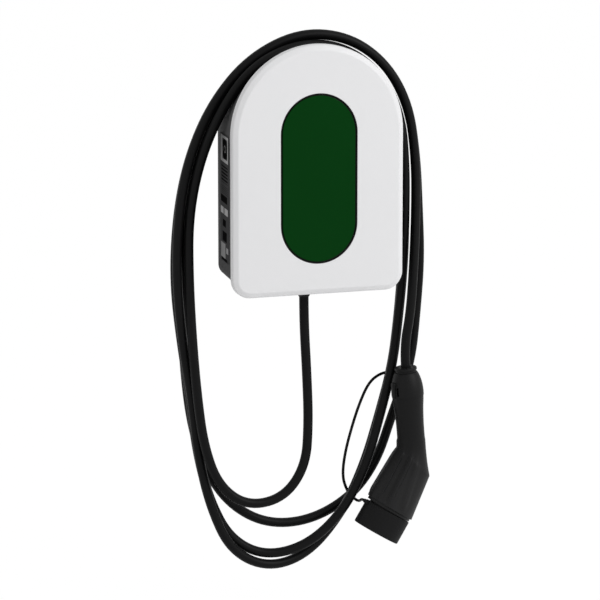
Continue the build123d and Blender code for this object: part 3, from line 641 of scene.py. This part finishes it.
print("window edges rounded:", round_edges(front_cover, 0.0007, 3, on_window_edge))
foot_screw_side = 0.07
foot_screw_reach = 0.11008
foot_screw_holes = ((0.0021, cover_foot), (0.00375, cover_foot - 0.0035))
for side in (-1, 1):
    for radius, height in foot_screw_holes:
        place = (side * foot_screw_side, -foot_screw_reach, height)
        cut(front_cover, cylinder(radius, 0.01, place, count=32))
close_up(front_cover)
dress(front_cover, "unit", "cover_white", "front_cover")

# %% [markdown]
# ## Window pane
#
# A thick glossy pane sits in the opening with a narrow dark joint round it. Its flange
# behind the cover is wider than the opening, so no light gap shows.

# %% Window pane
pane_joint = 0.003
pane_drop = 0.0005
flange_width = 0.006
seal_thickness = 0.0008


def pane_plate(name, wider, front):
    """A face of the window's form, wider or narrower all round than its opening."""
    return slot_plate(name, window_width + 2 * wider, window_height + 2 * wider, window_middle, front)


pane = pane_plate("window_pane", -pane_joint, unit_depth - pane_drop)
deepen(pane, 0.0033)
round_edges(pane, 0.0006, 3, lambda p, e: all(v.co.y < -unit_depth + pane_drop + hair for v in e.verts))
flange = pane_plate("pane_flange", flange_width, unit_depth - cover_wall - seal_thickness)
deepen(flange, 0.0024)
join(pane, flange)
close_up(pane)
dress(pane, "unit", "window_glass", "window_panel")

# %% [markdown]
# ## Rear housing
#
# The black tub behind the cover is narrower at the wall, so that turns of cable laid
# over it slide towards the wall and stay on. It starts as the front outline, is pulled
# back to the wall, and its back outline is then made smaller.

# %% Rear housing
tub_depth = 0.1025
tub_front_half = 0.123
tub_back_half = 0.111
tub_back_arch = 0.109
tub_foot = -0.162
tub_arch = 0.04
tub_corner = 0.017
tub_wall = 0.0035
housing = arch_plate("housing_shell", tub_front_half, tub_foot, tub_arch, tub_corner, tub_depth)
deepen(housing, tub_depth)
edit(housing)
pick(housing, "verts", lambda p, v: p.y > -hair)
bpy.ops.transform.resize(value=(tub_back_half / tub_front_half, 1, 1), center_override=(0, 0, tub_arch))
pick(housing, "verts", lambda p, v: p.y > -hair and p.z > tub_arch)
bpy.ops.transform.resize(value=(1, 1, tub_back_arch / tub_front_half), center_override=(0, 0, tub_arch))
round_edges(housing, 0.002, 4, lambda p, e: all(v.co.y > -hair for v in e.verts))
edit(housing)
pick(housing, "faces", lambda p, f: p.y < -tub_depth + hair)
bpy.ops.mesh.delete(type="ONLY_FACE")
modify(housing, "SOLIDIFY", thickness=tub_wall, offset=-1, use_even_offset=True)
print("housing faces:", len(housing.data.polygons))

# %% [markdown]
# ### Back of the housing
#
# Only four round pads touch the wall: the rest of the back is a shallow pocket. The pads
# are taken out of the pocket's cutter first, so that they stay when the pocket is cut.

# %% Pocket, pads and holes of the housing
fixing_places = [(x, z) for x in (-0.05, 0.05) for z in (-0.105, 0.105)]
upright = (0, 0, 0)
along_y = (math.radians(90), 0, 0)
pad_radius = 0.011
pocket_margin = 0.013
pocket_depth = 0.0015
pocket = arch_plate(
    "pocket_cutter", tub_back_half - pocket_margin, tub_foot + pocket_margin, tub_arch, tub_corner,
    pocket_depth,
)
deepen(pocket, 0.01)
for x, z in fixing_places:
    cut(pocket, cylinder(pad_radius, 0.04, (x, 0, z), along_y))
cut(housing, pocket)
openings = [(0.0122, (0, -outlet_reach, tub_foot), upright), (0.012, (0.072, 0, -0.128), along_y)]
openings += [(0.00325, (x, 0, z), along_y) for x, z in fixing_places]
for radius, place, turn in openings:
    cut(housing, cylinder(radius, 0.02, place, turn))
close_up(housing)
dress(housing, "unit", "housing_black", "rear_housing")

# %% [markdown]
# ## Side plate
#
# A thin plate is stuck to the left side of the housing. It is left plain here: only
# fields of dark and pale grey, made later by its material. It follows the side's slope.

# %% Side plate
def side_at(reach):
    """The left side of the housing at a distance from the wall."""
    return -(tub_back_half + (tub_front_half - tub_back_half) * reach / tub_depth)


plate_near = 0.022
plate_far = 0.08
plate_foot = -0.134
plate_top = 0.047
start_clean()
bpy.ops.mesh.primitive_plane_add(size=1)
plate = bpy.context.object
plate.name = "side_plate"
edit(plate)
mesh = bmesh.from_edit_mesh(plate.data)
corners = [
    (plate_near, plate_foot), (plate_far, plate_foot), (plate_far, plate_top), (plate_near, plate_top),
]
ordered = sorted(mesh.verts, key=lambda v: math.atan2(v.co.y, v.co.x))
for vert, (reach, height) in zip(ordered, corners):
    vert.co = (side_at(reach), -reach, height)
bmesh.update_edit_mesh(plate.data)
bpy.ops.mesh.select_all(action="SELECT")
bpy.ops.mesh.bevel(offset=0.002, segments=5, profile=0.5, affect="VERTICES")
bpy.ops.mesh.select_all(action="SELECT")
bpy.ops.mesh.normals_make_consistent(inside=False)
mesh = bmesh.from_edit_mesh(plate.data)
if sum(f.normal.x for f in mesh.faces) > 0:
    bpy.ops.mesh.flip_normals()
bpy.ops.object.mode_set(mode="OBJECT")
modify(plate, "SOLIDIFY", thickness=0.0005, offset=0.6)
close_up(plate)
dress(plate, "unit", "plate_print", "side_plate")

# %% [markdown]
# ## Bodies made of rings
#
# Turned and bent parts, such as the connector, are built as a hand would: a filled
# circle is extruded again and again, and each new ring is moved, tilted and sized.

# %% Rings
def way_of(tilt):
    """A direction in the plane of the wall: 0 degrees is down, more leans to the right."""
    angle = math.radians(tilt)
    return Vector((math.sin(angle), 0, -math.cos(angle)))


def left_of(way):
    return Vector((way.z, 0, -way.x))


def ring_along(start, tilt, distance, radius, reach):
    """A round ring on a straight line that starts at a point and leans by a tilt."""
    way = way_of(tilt)
    return (start[0] + way.x * distance, start[1] + way.z * distance, tilt, radius, radius, reach)


def ring_place(ring, side, front):
    """A point of a ring: its middle, tilt in the plane of the wall, half width and half depth."""
    x, z, tilt, half_width, half_depth, reach = ring
    angle = math.radians(tilt)
    return Vector((
        x + side * half_width * math.cos(angle),
        -reach - front * half_depth,
        z + side * half_width * math.sin(angle),
    ))


def ring_body(name, rings, count=64):
    """A closed body through a list of rings."""
    start_clean()
    bpy.ops.mesh.primitive_circle_add(vertices=count, radius=1, fill_type="NGON")
    body = bpy.context.object
    body.name = name
    edit(body)
    mesh = bmesh.from_edit_mesh(body.data)
    for vert in mesh.verts:
        vert.co = ring_place(rings[0], vert.co.x, vert.co.y)
    bmesh.update_edit_mesh(body.data)
    for before, after in zip(rings, rings[1:]):
        bpy.ops.mesh.extrude_region_move(TRANSFORM_OT_translate={"value": (0, 0, 0)})
        mesh = bmesh.from_edit_mesh(body.data)
        middle = Vector((before[0], -before[5], before[1]))
        angle = math.radians(before[2])
        side_way = Vector((math.cos(angle), 0, math.sin(angle)))
        for vert in [v for v in mesh.verts if v.select]:
            offset = vert.co - middle
            vert.co = ring_place(after, offset.dot(side_way) / before[3], -offset.y / before[4])
        bmesh.update_edit_mesh(body.data)
    bpy.ops.mesh.select_all(action="SELECT")
    bpy.ops.mesh.normals_make_consistent(inside=False)
    bpy.ops.object.mode_set(mode="OBJECT")
    return body


def turned(name, start, tilt, profile, reach):
    """A round body along an axis: profile is (distance, radius) pairs."""
    return ring_body(name, [ring_along(start, tilt, *pair, reach) for pair in profile])


print("a tilt of 90 degrees points along", [round(v, 3) for v in way_of(90)])


# %% [markdown]
# ## Outlet under the housing
#
# The cable leaves through a gland. Its dome nut ends in a short tapered sleeve, which
# stops the cable from kinking at the edge of the nut.

# %% Outlet sleeve
outlet_profile = [
    (0.0, 0.0092), (0.0, 0.0139), (0.0008, 0.0148), (0.0085, 0.0148), (0.0095, 0.0139), (0.012, 0.0134),
    (0.015, 0.0118), (0.0156, 0.0106), (0.0158, 0.0098), (0.0178, 0.0092), (0.0184, 0.0086),
    (0.0192, 0.0086), (0.0197, 0.0088), (0.0208, 0.0083), (0.0214, 0.0078), (0.0222, 0.0075),
    (0.0222, 0.0071), (0.01, 0.0071),
]
outlet = turned("outlet_sleeve", (0, -0.168), 0, outlet_profile, outlet_reach)
close_up(outlet)
dress(outlet, "unit", "gland_plastic", "gland_dome_nut")

# %% [markdown]
# ## Vehicle connector
#
# The connector hangs from the end of the cable. A collar nut grips the cable, the rear
# shell swells below it, and the grip runs straight down to a head that turns to the
# left and widens. The head's two knees are quite sharp, so the rings are close there.

# %% Collar and rear shell
plug_reach = 0.068
plug_top = (0.1489, -0.3)
grip_tilt = 4.9
collar_profile = [
    (0.0045, 0.0071), (0.0003, 0.0071), (0.0, 0.0078), (0.0, 0.0146), (0.0006, 0.0156), (0.0016, 0.016),
    (0.0036, 0.016), (0.0042, 0.0155), (0.0044, 0.015), (0.0068, 0.015),
]
collar = turned("plug_collar", plug_top, grip_tilt, collar_profile, plug_reach)
close_up(collar)
dress(collar, "unit", "plug_black", "connector_collar")

shell_profile = [
    (0.007, 0.0152), (0.0074, 0.0162), (0.009, 0.0172), (0.012, 0.0187), (0.016, 0.0201),
    (0.02, 0.0212), (0.024, 0.0221), (0.028, 0.0227), (0.032, 0.0231), (0.036, 0.0233),
    (0.04, 0.0233), (0.0418, 0.0232), (0.042, 0.023), (0.042, 0.0222),
]
rear_shell = turned("plug_rear_shell", plug_top, grip_tilt, shell_profile, plug_reach)

# %% [markdown]
# ### Recess, tab and lug
#
# The shell's left side has a raised tab with a small recess beside it, and a lug on the
# wall side carries the cap's cord. The recess is cut, the other two are joined on.

# %% Recess, tab and lug of the rear shell
forward = Vector((0, -1, 0))
grip_way = way_of(grip_tilt)


def shell_block(name, size, distance, radius, turn, bevel):
    """A block beside the shell, turned round the grip from its left side to the front."""
    angle = math.radians(turn)
    out = left_of(grip_way) * math.cos(angle) + forward * math.sin(angle)
    block = rounded_block(name, size, bevel, 5)
    place = Vector((plug_top[0], -plug_reach, plug_top[1])) + grip_way * distance + out * radius
    set_down(block, place, out, grip_way.cross(out), grip_way)
    return block


cut(rear_shell, shell_block("shell_recess", (0.008, 0.0034, 0.013), 0.0325, 0.0232, 33, 0.0012))
shell_tab = shell_block("shell_tab", (0.013, 0.008, 0.023), 0.031, 0.019, 12, 0.0022)
lug_length = 0.0235
lug_top = lug_length / 2 - hair / 2
lug = cylinder(0.0036, lug_length, (0.15, lug_length / 2 - plug_reach, -0.313), along_y, 32)
round_edges(lug, 0.0008, 3, lambda p, e: abs(sum(v.co.z for v in e.verts)) > 2 * lug_top)
join(rear_shell, lug, shell_tab)
close_up(rear_shell)
dress(rear_shell, "unit", "plug_black", "connector_rear_shell")

# %% [markdown]
# ## Grip and head
#
# Each ring is given by the two points where it meets the outline in the photograph, on
# the left and on the right, so the knees fall in the right places.

# %% Grip and head
def ring_between(left, right, half_depth):
    """A ring through two points of the outline."""
    middle = ((left[0] + right[0]) / 2, (left[1] + right[1]) / 2)
    tilt = math.degrees(math.atan2(right[1] - left[1], right[0] - left[0]))
    return (*middle, tilt, math.dist(left, right) / 2, half_depth, plug_reach)


def ring_on_head(share):
    """A ring of the head: share 0 is the line between the knees, 1 the open end."""
    left = Vector(left_knee).lerp(Vector(left_end), share)
    right = Vector(right_knee).lerp(Vector(right_end), share)
    return ring_between(left, right, 0.0238 + 0.0117 * share ** 0.9)


left_knee = (0.1352, -0.4196)
right_knee = (0.1852, -0.4634)
left_end = (0.0942, -0.4862)
right_end = (0.1562, -0.5256)
grip_profile = [
    (0.042, 0.0218), (0.042, 0.0225), (0.0422, 0.0227), (0.048, 0.0224), (0.054, 0.0218),
    (0.06, 0.0212), (0.066, 0.0208), (0.074, 0.0204), (0.084, 0.02), (0.094, 0.0199),
    (0.104, 0.0199),
]
bend_rings = [
    ring_between((0.1367, -0.4095), (0.1786, -0.4069), 0.0201),
    ring_between((0.1368, -0.4125), (0.1797, -0.4215), 0.0204),
    ring_between((0.1369, -0.4147), (0.1809, -0.433), 0.0208),
    ring_between((0.1369, -0.4165), (0.1822, -0.444), 0.0214),
    ring_between((0.1366, -0.418), (0.1838, -0.454), 0.0222),
    ring_between((0.136, -0.4189), (0.1849, -0.46), 0.0231),
]
head_shares = [0, 0.03, 0.08, 0.14, 0.22, 0.32, 0.44, 0.56, 0.68, 0.78, 0.85, 0.9, 0.94, 0.975]
handle_rings = [ring_along(plug_top, grip_tilt, *pair, plug_reach) for pair in grip_profile]
handle_rings += bend_rings
handle_rings += [ring_on_head(share) for share in head_shares]
mouth_steps = [
    (0, 0), (0.0003, 0.0004), (0.0009, 0.0006), (0.0024, 0.0006), (0.0024, 0.0046), (0.006, 0.0046),
]
x, z, tilt, half_width, half_depth, reach = ring_on_head(0.985)
for narrower, further in mouth_steps:
    step = way_of(tilt) * further
    handle_rings.append((
        x + step.x, z + step.z, tilt, half_width - narrower, half_depth - narrower, reach,
    ))
handle = ring_body("plug_handle", handle_rings, 144)
print("rings of grip and head:", len(handle_rings))

# %% [markdown]
# ## Ribs
#
# The head has broad, soft ribs on its front and back: two clear ones on the left and a
# flatter one beside them. They are drawn out of the surface: each vertex of the head is
# moved outwards by a rounded amount that depends on how far it lies from a rib's middle
# line, and that fades at both ends. A rib is given by its places at the knees and at the
# end, as shares of the head's half width, then its height and its half width.

# %% Ribs on the head
rib_lines = [
    (-0.84, -0.84, 0.0046, 0.0075), (-0.46, -0.5, 0.0048, 0.0062), (-0.06, 0.16, 0.0019, 0.0085),
]


def middle_of(left, right):
    """The point of the wall's plane halfway between two points of the outline."""
    return Vector(((left[0] + right[0]) / 2, 0, (left[1] + right[1]) / 2))


knee_middle = middle_of(left_knee, right_knee)
head_line = middle_of(left_end, right_end) - knee_middle
head_way = head_line.normalized()
edit(handle)
found = pick(
    handle, "verts",
    lambda p, v: abs(p.y + plug_reach) > 0.004 and (p - knee_middle).dot(head_way) > -0.016,
)
mesh = bmesh.from_edit_mesh(handle.data)
for vert in [v for v in mesh.verts if v.select]:
    share = (vert.co - knee_middle).dot(head_way) / head_line.length
    half_width = 0.0332 + 0.0049 * share
    side = (knee_middle - vert.co).dot(left_of(head_way))
    fade = min(max((share + 0.24) / 0.26, 0), 1) * min(max((0.93 - share) / 0.1, 0), 1)
    lift = 0
    for at_knee, at_end, height, rib_half_width in rib_lines:
        middle = (at_knee + (at_end - at_knee) * share) * half_width
        slope = math.sqrt(max(1 - (middle / half_width) ** 2, 0.3))
        away = min(abs(side - middle) / (rib_half_width * slope), 1)
        lift += height * math.cos(away * math.pi / 2) ** 2
    vert.co.y += math.copysign(lift * fade, vert.co.y + plug_reach)
bmesh.update_edit_mesh(handle.data)
bpy.ops.object.mode_set(mode="OBJECT")
print("vertices near the ribs:", found)
close_up(handle, 30)
dress(handle, "unit", "plug_black", "connector_handle")

# %% [markdown]
# ## Protective cap
#
# The cap is a soft cup over the contacts. It has a slightly crowned end, a rolled rim
# and a tab for its lanyard. It slides off along the nose, so it rides on its own body.

# %% Protective cap
nose_tilt = -31.0
head_foot = (0.125, -0.5065)
cap_end = (0.1041, -0.5409)
cap_length = 0.0405
bore_profile = [(0.0279, 0.0272), (0.0276, 0.02785), (0.0054, 0.02785)]
cap_profile = [
    (0.0048, 0.0286), (0.0046, 0.03), (0.0046, 0.0338), (0.0048, 0.0345), (0.0053, 0.0349),
    (0.0062, 0.035), (0.015, 0.035), (0.028, 0.0351), (0.0392, 0.0351), (0.04, 0.0348),
    (0.0404, 0.0342), (cap_length, 0.033), (cap_length, 0.02), (cap_length, 0.008),
]


def cap_ring(distance, radius):
    """A ring of the cap's outside; it leans a little less than its bore."""
    share = distance / cap_length
    x = head_foot[0] + (cap_end[0] - head_foot[0]) * share
    z = head_foot[1] + (cap_end[1] - head_foot[1]) * share
    return (x, z, nose_tilt, radius, radius, plug_reach)


cap_rings = [ring_along(head_foot, nose_tilt, *pair, plug_reach) for pair in bore_profile]
cap_rings += [cap_ring(*pair) for pair in cap_profile]
cap = ring_body("plug_cap", cap_rings, 96)

print("cap rings:", len(cap_rings))

# %% [markdown]
# ### Tab of the cap
#
# A small block with round edges sits on the cap's rim, where the cord ends.

# %% Tab of the cap
nose_way = way_of(nose_tilt)
nose_left = left_of(nose_way)
tab_place = Vector((head_foot[0], -plug_reach, head_foot[1])) + nose_way * 0.0076 + nose_left * 0.0368
tab = rounded_block("cap_tab", (0.0068, 0.008, 0.006), 0.0014, 4)
set_down(tab, tab_place, nose_left, forward, nose_way)
join(cap, tab)
close_up(cap)
dress(cap, "cap", "plug_black", "protective_cap")

# %% [markdown]
# ## Lanyard
#
# A thin cord keeps the cap with the connector. It leaves the lug on the wall side,
# drops behind the hanging strands in a wide bow, and comes forward to the cap's tab.
# It bends when the cap slides; here it is one tube along a list of points.

# %% Lanyard
lanyard_thickness = 0.0042
lanyard_route = [
    (0.15, -0.0445, -0.313), (0.15, -0.0325, -0.313), (0.144, -0.021, -0.316), (0.128, -0.0195, -0.318),
    (0.11, -0.022, -0.329), (0.095, -0.0245, -0.357), (0.0815, -0.025, -0.396), (0.0715, -0.025, -0.434),
    (0.069, -0.023, -0.466), (0.0765, -0.0215, -0.487), (0.0835, -0.022, -0.496), (0.089, -0.029, -0.5015),
    (0.0895, -0.041, -0.4995), (0.0889, -0.052, -0.4937), (0.0889, -0.064, -0.4937),
]
lanyard_points = points_along(lanyard_route)
cap_lanyard = tube("cap_lanyard", lanyard_points, lanyard_thickness / 2)
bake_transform(cap_lanyard)
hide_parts("lanyard")

# %% [markdown]
# ### The two cords
#
# Both cords are tubes as thick as the real ones.

print("cords declared:", charging_cord.name, cap_lanyard.name)

# %% [markdown]
# ## Finishes
#
# Plastics differ less by colour than by their surface. The white cover has a very fine
# even grain. The housing and the connector have a coarser spark-eroded grain. The
# connector's head is painted paler towards its open end and the housing's upper side
# paler towards its top: painted light, not a colour of the plastic.

# %% Moulded plastics
def grained(name, colour, roughness, grain, depth, shade=0.04, specular=0.5, fade=None):
    """A moulded surface: grain size and depth in metres, and a slow change of shade.

    A fade is painted light: the height where a paler colour starts, its rise, and the colour.
    """
    finish = Finish(name, colour, roughness, Specular_IOR_Level=specular)
    fine = finish.noise(1.0 / grain, 4.0)
    if fade:
        # Painted light: a paler colour painted in over a height.
        start, rise, lit_colour = fade
        share = ((finish.axes()[2] - start) * (1 / rise)).math("MAXIMUM", 0.0).math("MINIMUM", 1.0)
        finish.set("Base Color", finish.mix(share, colour, lit_colour))
    else:
        darker = tuple(c * (1 - shade) for c in colour)
        lighter = tuple(min(1.0, c * (1 + shade)) for c in colour)
        finish.set("Base Color", finish.mix(finish.noise(14.0, 2.0), darker, lighter))
    finish.set("Roughness", fine * 0.1 + (roughness - 0.05))
    finish.bump(fine, depth)
    return finish


connector_colour = (0.0055, 0.0055, 0.0057)
# Painted light: the head paler towards its open end, as if lit, and the housing paler towards its top,
# against the shade of the cable's strands.
head_painted_light = (-0.415, -0.0455, (0.0125, 0.0125, 0.0128))
housing_painted_light = (0.02, 0.0625, (0.11, 0.11, 0.112))
cover_white = grained("cover white", (0.79, 0.79, 0.8), 0.42, 0.0006, 0.00002, 0.008, 0.35)
housing_black = grained(
    "housing black", (0.048, 0.048, 0.049), 0.6, 0.0007, 0.00005, specular=0.03, fade=housing_painted_light
)
plug_black = grained("connector black", connector_colour, 0.5, 0.0006, 0.00005, 0.1, 0.13)
head_black = grained(
    "head black", connector_colour, 0.5, 0.0006, 0.00005, specular=0.13, fade=head_painted_light
)
gland_black = grained("gland black", (0.008, 0.008, 0.008), 0.48, 0.0005, 0.00004, 0.1, 0.15)
cap_rubber = grained("cap rubber", (0.0075, 0.0075, 0.0078), 0.62, 0.0005, 0.00004, 0.1, 0.1)
seal_rubber = grained("seal rubber", (0.004, 0.004, 0.004), 0.7, 0.0004, 0.00003, 0.1, 0.2)
inner_plastic = grained("inner plastic", (0.03, 0.03, 0.031), 0.5, 0.0008, 0.00005, 0.08)
print("materials:", len(bpy.data.materials))

# %% [markdown]
# ## Window finish
#
# The pane is dark green all through and polished on the outside. A shallow wave in the
# moulding makes reflections swim a little, and they stay weak because the pane is dark
# and treated against glare.

# %% Window
window_green = Finish("window green", (0.0012, 0.038, 0.0045), 0.16, Specular_IOR_Level=0.03)
swim = window_green.noise(9.0, 2.0)
window_green.set("Base Color", window_green.mix(swim, (0.0009, 0.036, 0.0036), (0.0014, 0.04, 0.005)))
window_green.set("Roughness", window_green.noise(60.0, 3.0) * 0.05 + 0.13)
window_green.bump(swim, 0.0004, 0.25)
print("window nodes:", len(window_green.tree.nodes))

# %% [markdown]
# ## Cable sheath
#
# The sheath is extruded and handled: it has a soft uneven sheen and very fine pits. The
# pattern is small enough that it needs no direction.

# %% Cable
cable_black = Finish("cable black", (0.0042, 0.0042, 0.0044), 0.44, Specular_IOR_Level=0.09)
haze = cable_black.noise(30.0, 3.0)
pits = cable_black.noise(2600.0, 2.0)
cable_black.set("Base Color", cable_black.mix(haze, (0.0036, 0.0036, 0.0038), (0.0048, 0.0048, 0.005)))
cable_black.set("Roughness", haze * 0.12 + pits * 0.06 + 0.36)
cable_black.bump(pits, 0.00002, 0.6)
print("cable nodes:", len(cable_black.tree.nodes))

# %% [markdown]
# ## Side plate finish
#
# The plate's fields are drawn by comparing places: a pale frame round a dark disc at the
# top, then fine stripes and dark blocks, a pale bar, and pale squares near the foot.

# %% Side plate fields
plate_colour = (0.075, 0.075, 0.076)
field = grained("side plate", plate_colour, 0.6, 0.0007, 0.00005, 0.1, 0.0)
x, y, z = field.axes()
reach = y * -1.0


def area(low, high, near, far):
    """One inside a rectangle of heights and distances from the wall, zero elsewhere."""
    return z.within(low, high) * reach.within(near, far)


disc_far = ((z - 0.0265) * (z - 0.0265) * 1.9 + (reach - 0.0545) * (reach - 0.0545)).math("SQRT")
pale = area(0.0075, 0.045, 0.025, 0.0765) * (1 - area(0.012, 0.041, 0.0375, 0.0715))
pale += area(-0.0665, -0.057, 0.024, 0.074) * (1 - reach.within(0.044, 0.05))
pale += area(-0.129, -0.108, 0.025, 0.056) * 0.62 + area(-0.12, -0.112, 0.062, 0.076) * 0.75
pale += disc_far.within(0.005, 0.0075) * 0.4
dark = disc_far.under(0.0195) + area(-0.05, -0.04, 0.025, 0.07)
dark += area(-0.022, 0.002, 0.03, 0.074) * (z * 210.0).math("FRACT").under(0.5)
dark += area(-0.038, -0.025, 0.03, 0.074) * (z * 400.0).math("FRACT").under(0.4) * 0.5
dark += area(-0.084, -0.074, 0.038, 0.06) + area(-0.105, -0.091, 0.036, 0.066)
dark += area(-0.133, -0.129, 0.03, 0.07)
shaded = field.mix(dark.math("MINIMUM", 1.0), plate_colour, (0.008, 0.008, 0.008))
field.set("Base Color", field.mix(pale.math("MINIMUM", 1.0), shaded, (0.5, 0.5, 0.5)))
print("side plate nodes:", len(field.tree.nodes))

# %% [markdown]
# ## Metals, boards and other inner parts
#
# These only show when the unit is opened, but they still get a finish of their own:
# brushed marks on metal, copper tracks under green lacquer, windings on the coil.

# %% Inner parts
steel = Finish("zinc steel", (0.55, 0.55, 0.57), 0.34, Metallic=1.0)
marks = steel.noise(900.0, 3.0)
steel.set("Roughness", marks * 0.2 + 0.26)
steel.bump(marks, 0.00003)

can_metal = Finish("can metal", (0.62, 0.62, 0.64), 0.3, Metallic=1.0)
dull = can_metal.noise(300.0, 3.0)
can_metal.set("Roughness", dull * 0.25 + 0.2)

silver = Finish("contact silver", (0.72, 0.7, 0.66), 0.22, Metallic=1.0)
tarnish = silver.noise(160.0, 3.0)
silver.set("Base Color", silver.mix(tarnish, (0.74, 0.72, 0.68), (0.55, 0.5, 0.42)))
silver.set("Roughness", tarnish * 0.2 + 0.16)

board_green = Finish("board green", (0.01, 0.1, 0.035), 0.34)
tracks = board_green.node("TexBrick", {}, {"Vector": board_green.place, "Scale": 60.0})["Fac"]
board_green.set("Base Color", board_green.mix(tracks, (0.008, 0.085, 0.03), (0.02, 0.16, 0.06)))
board_green.bump(tracks, 0.00004)

relay_dark = grained("component black", (0.02, 0.02, 0.022), 0.4, 0.001, 0.00003)
terminal_grey = grained("terminal grey", (0.32, 0.33, 0.34), 0.45, 0.0009, 0.00003)
light_board = grained("light board white", (0.66, 0.66, 0.63), 0.4, 0.002, 0.00002, 0.02)
light_guide = grained("light guide", (0.78, 0.8, 0.79), 0.2, 0.003, 0.00002, 0.02)

sensor_blue = Finish("coil blue", (0.02, 0.05, 0.22), 0.4)
x, y, z = sensor_blue.axes()
turns = ((z + 0.048).math("ARCTAN2", x - 0.048) * 26.0).math("SINE") * 0.5 + 0.5
sensor_blue.set("Base Color", sensor_blue.mix(turns, (0.015, 0.035, 0.16), (0.03, 0.07, 0.28)))
sensor_blue.bump(turns, 0.0003)

wires = Finish("wire colours", (0.1, 0.1, 0.1), 0.4)
x, y, z = wires.axes()
colour = wires.mix(x.over(-0.0195), (0.16, 0.07, 0.03), (0.008, 0.008, 0.008))
for edge, shade in ((-0.0065, (0.16, 0.16, 0.17)), (0.0065, (0.02, 0.06, 0.3)), (0.0195, (0.2, 0.28, 0.03))):
    colour = wires.mix(x.over(edge), colour, shade)
wires.set("Base Color", colour)
wires.set("Roughness", wires.noise(500.0, 2.0) * 0.1 + 0.35)
print("materials:", len(bpy.data.materials))

# %% [markdown]
# ## Putting the finishes on
#
# Each new piece gets its finish, and each frame node that still shows gets one too.

# %% Assign the finishes
piece_finishes = [
    (front_cover, cover_white), (pane, window_green), (housing, housing_black), (plate, field),
    (outlet, gland_black), (collar, plug_black), (rear_shell, plug_black), (handle, head_black),
    (cap, cap_rubber), (cap_lanyard, cable_black), (charging_cord, cable_black),
]
for piece, finish in piece_finishes:
    piece.data.materials.clear()
    piece.data.materials.append(finish.material)

node_finishes = [
    (seal_rubber, "window_seal housing_gasket gland_seal entry_grommet"),
    (steel, "inner_cover_screws cover_foot_screws board_screws terminal_screws"),
    (gland_black, "gland_body gland_locknut"), (relay_dark, "power_relays power_supply"),
    (can_metal, "capacitors radio_module"), (inner_plastic, "inner_cover"),
    (light_board, "light_board"), (light_guide, "light_guide"), (board_green, "main_board"),
    (sensor_blue, "current_sensor"), (terminal_grey, "terminal_block"), (wires, "cable_conductors"),
    (cable_black, "cable_sheath_end"), (plug_black, "connector_nose"), (silver, "contact_sleeves"),
]
node_finish = {name: finish for finish, names in node_finishes for name in names.split()}
for name, finish in node_finish.items():
    slots = nodes[name].material_slots
    for slot in slots:
        slot.material = finish.material
    if not slots:
        nodes[name].data.materials.append(finish.material)
print("frame nodes with a finish:", len(node_finish))
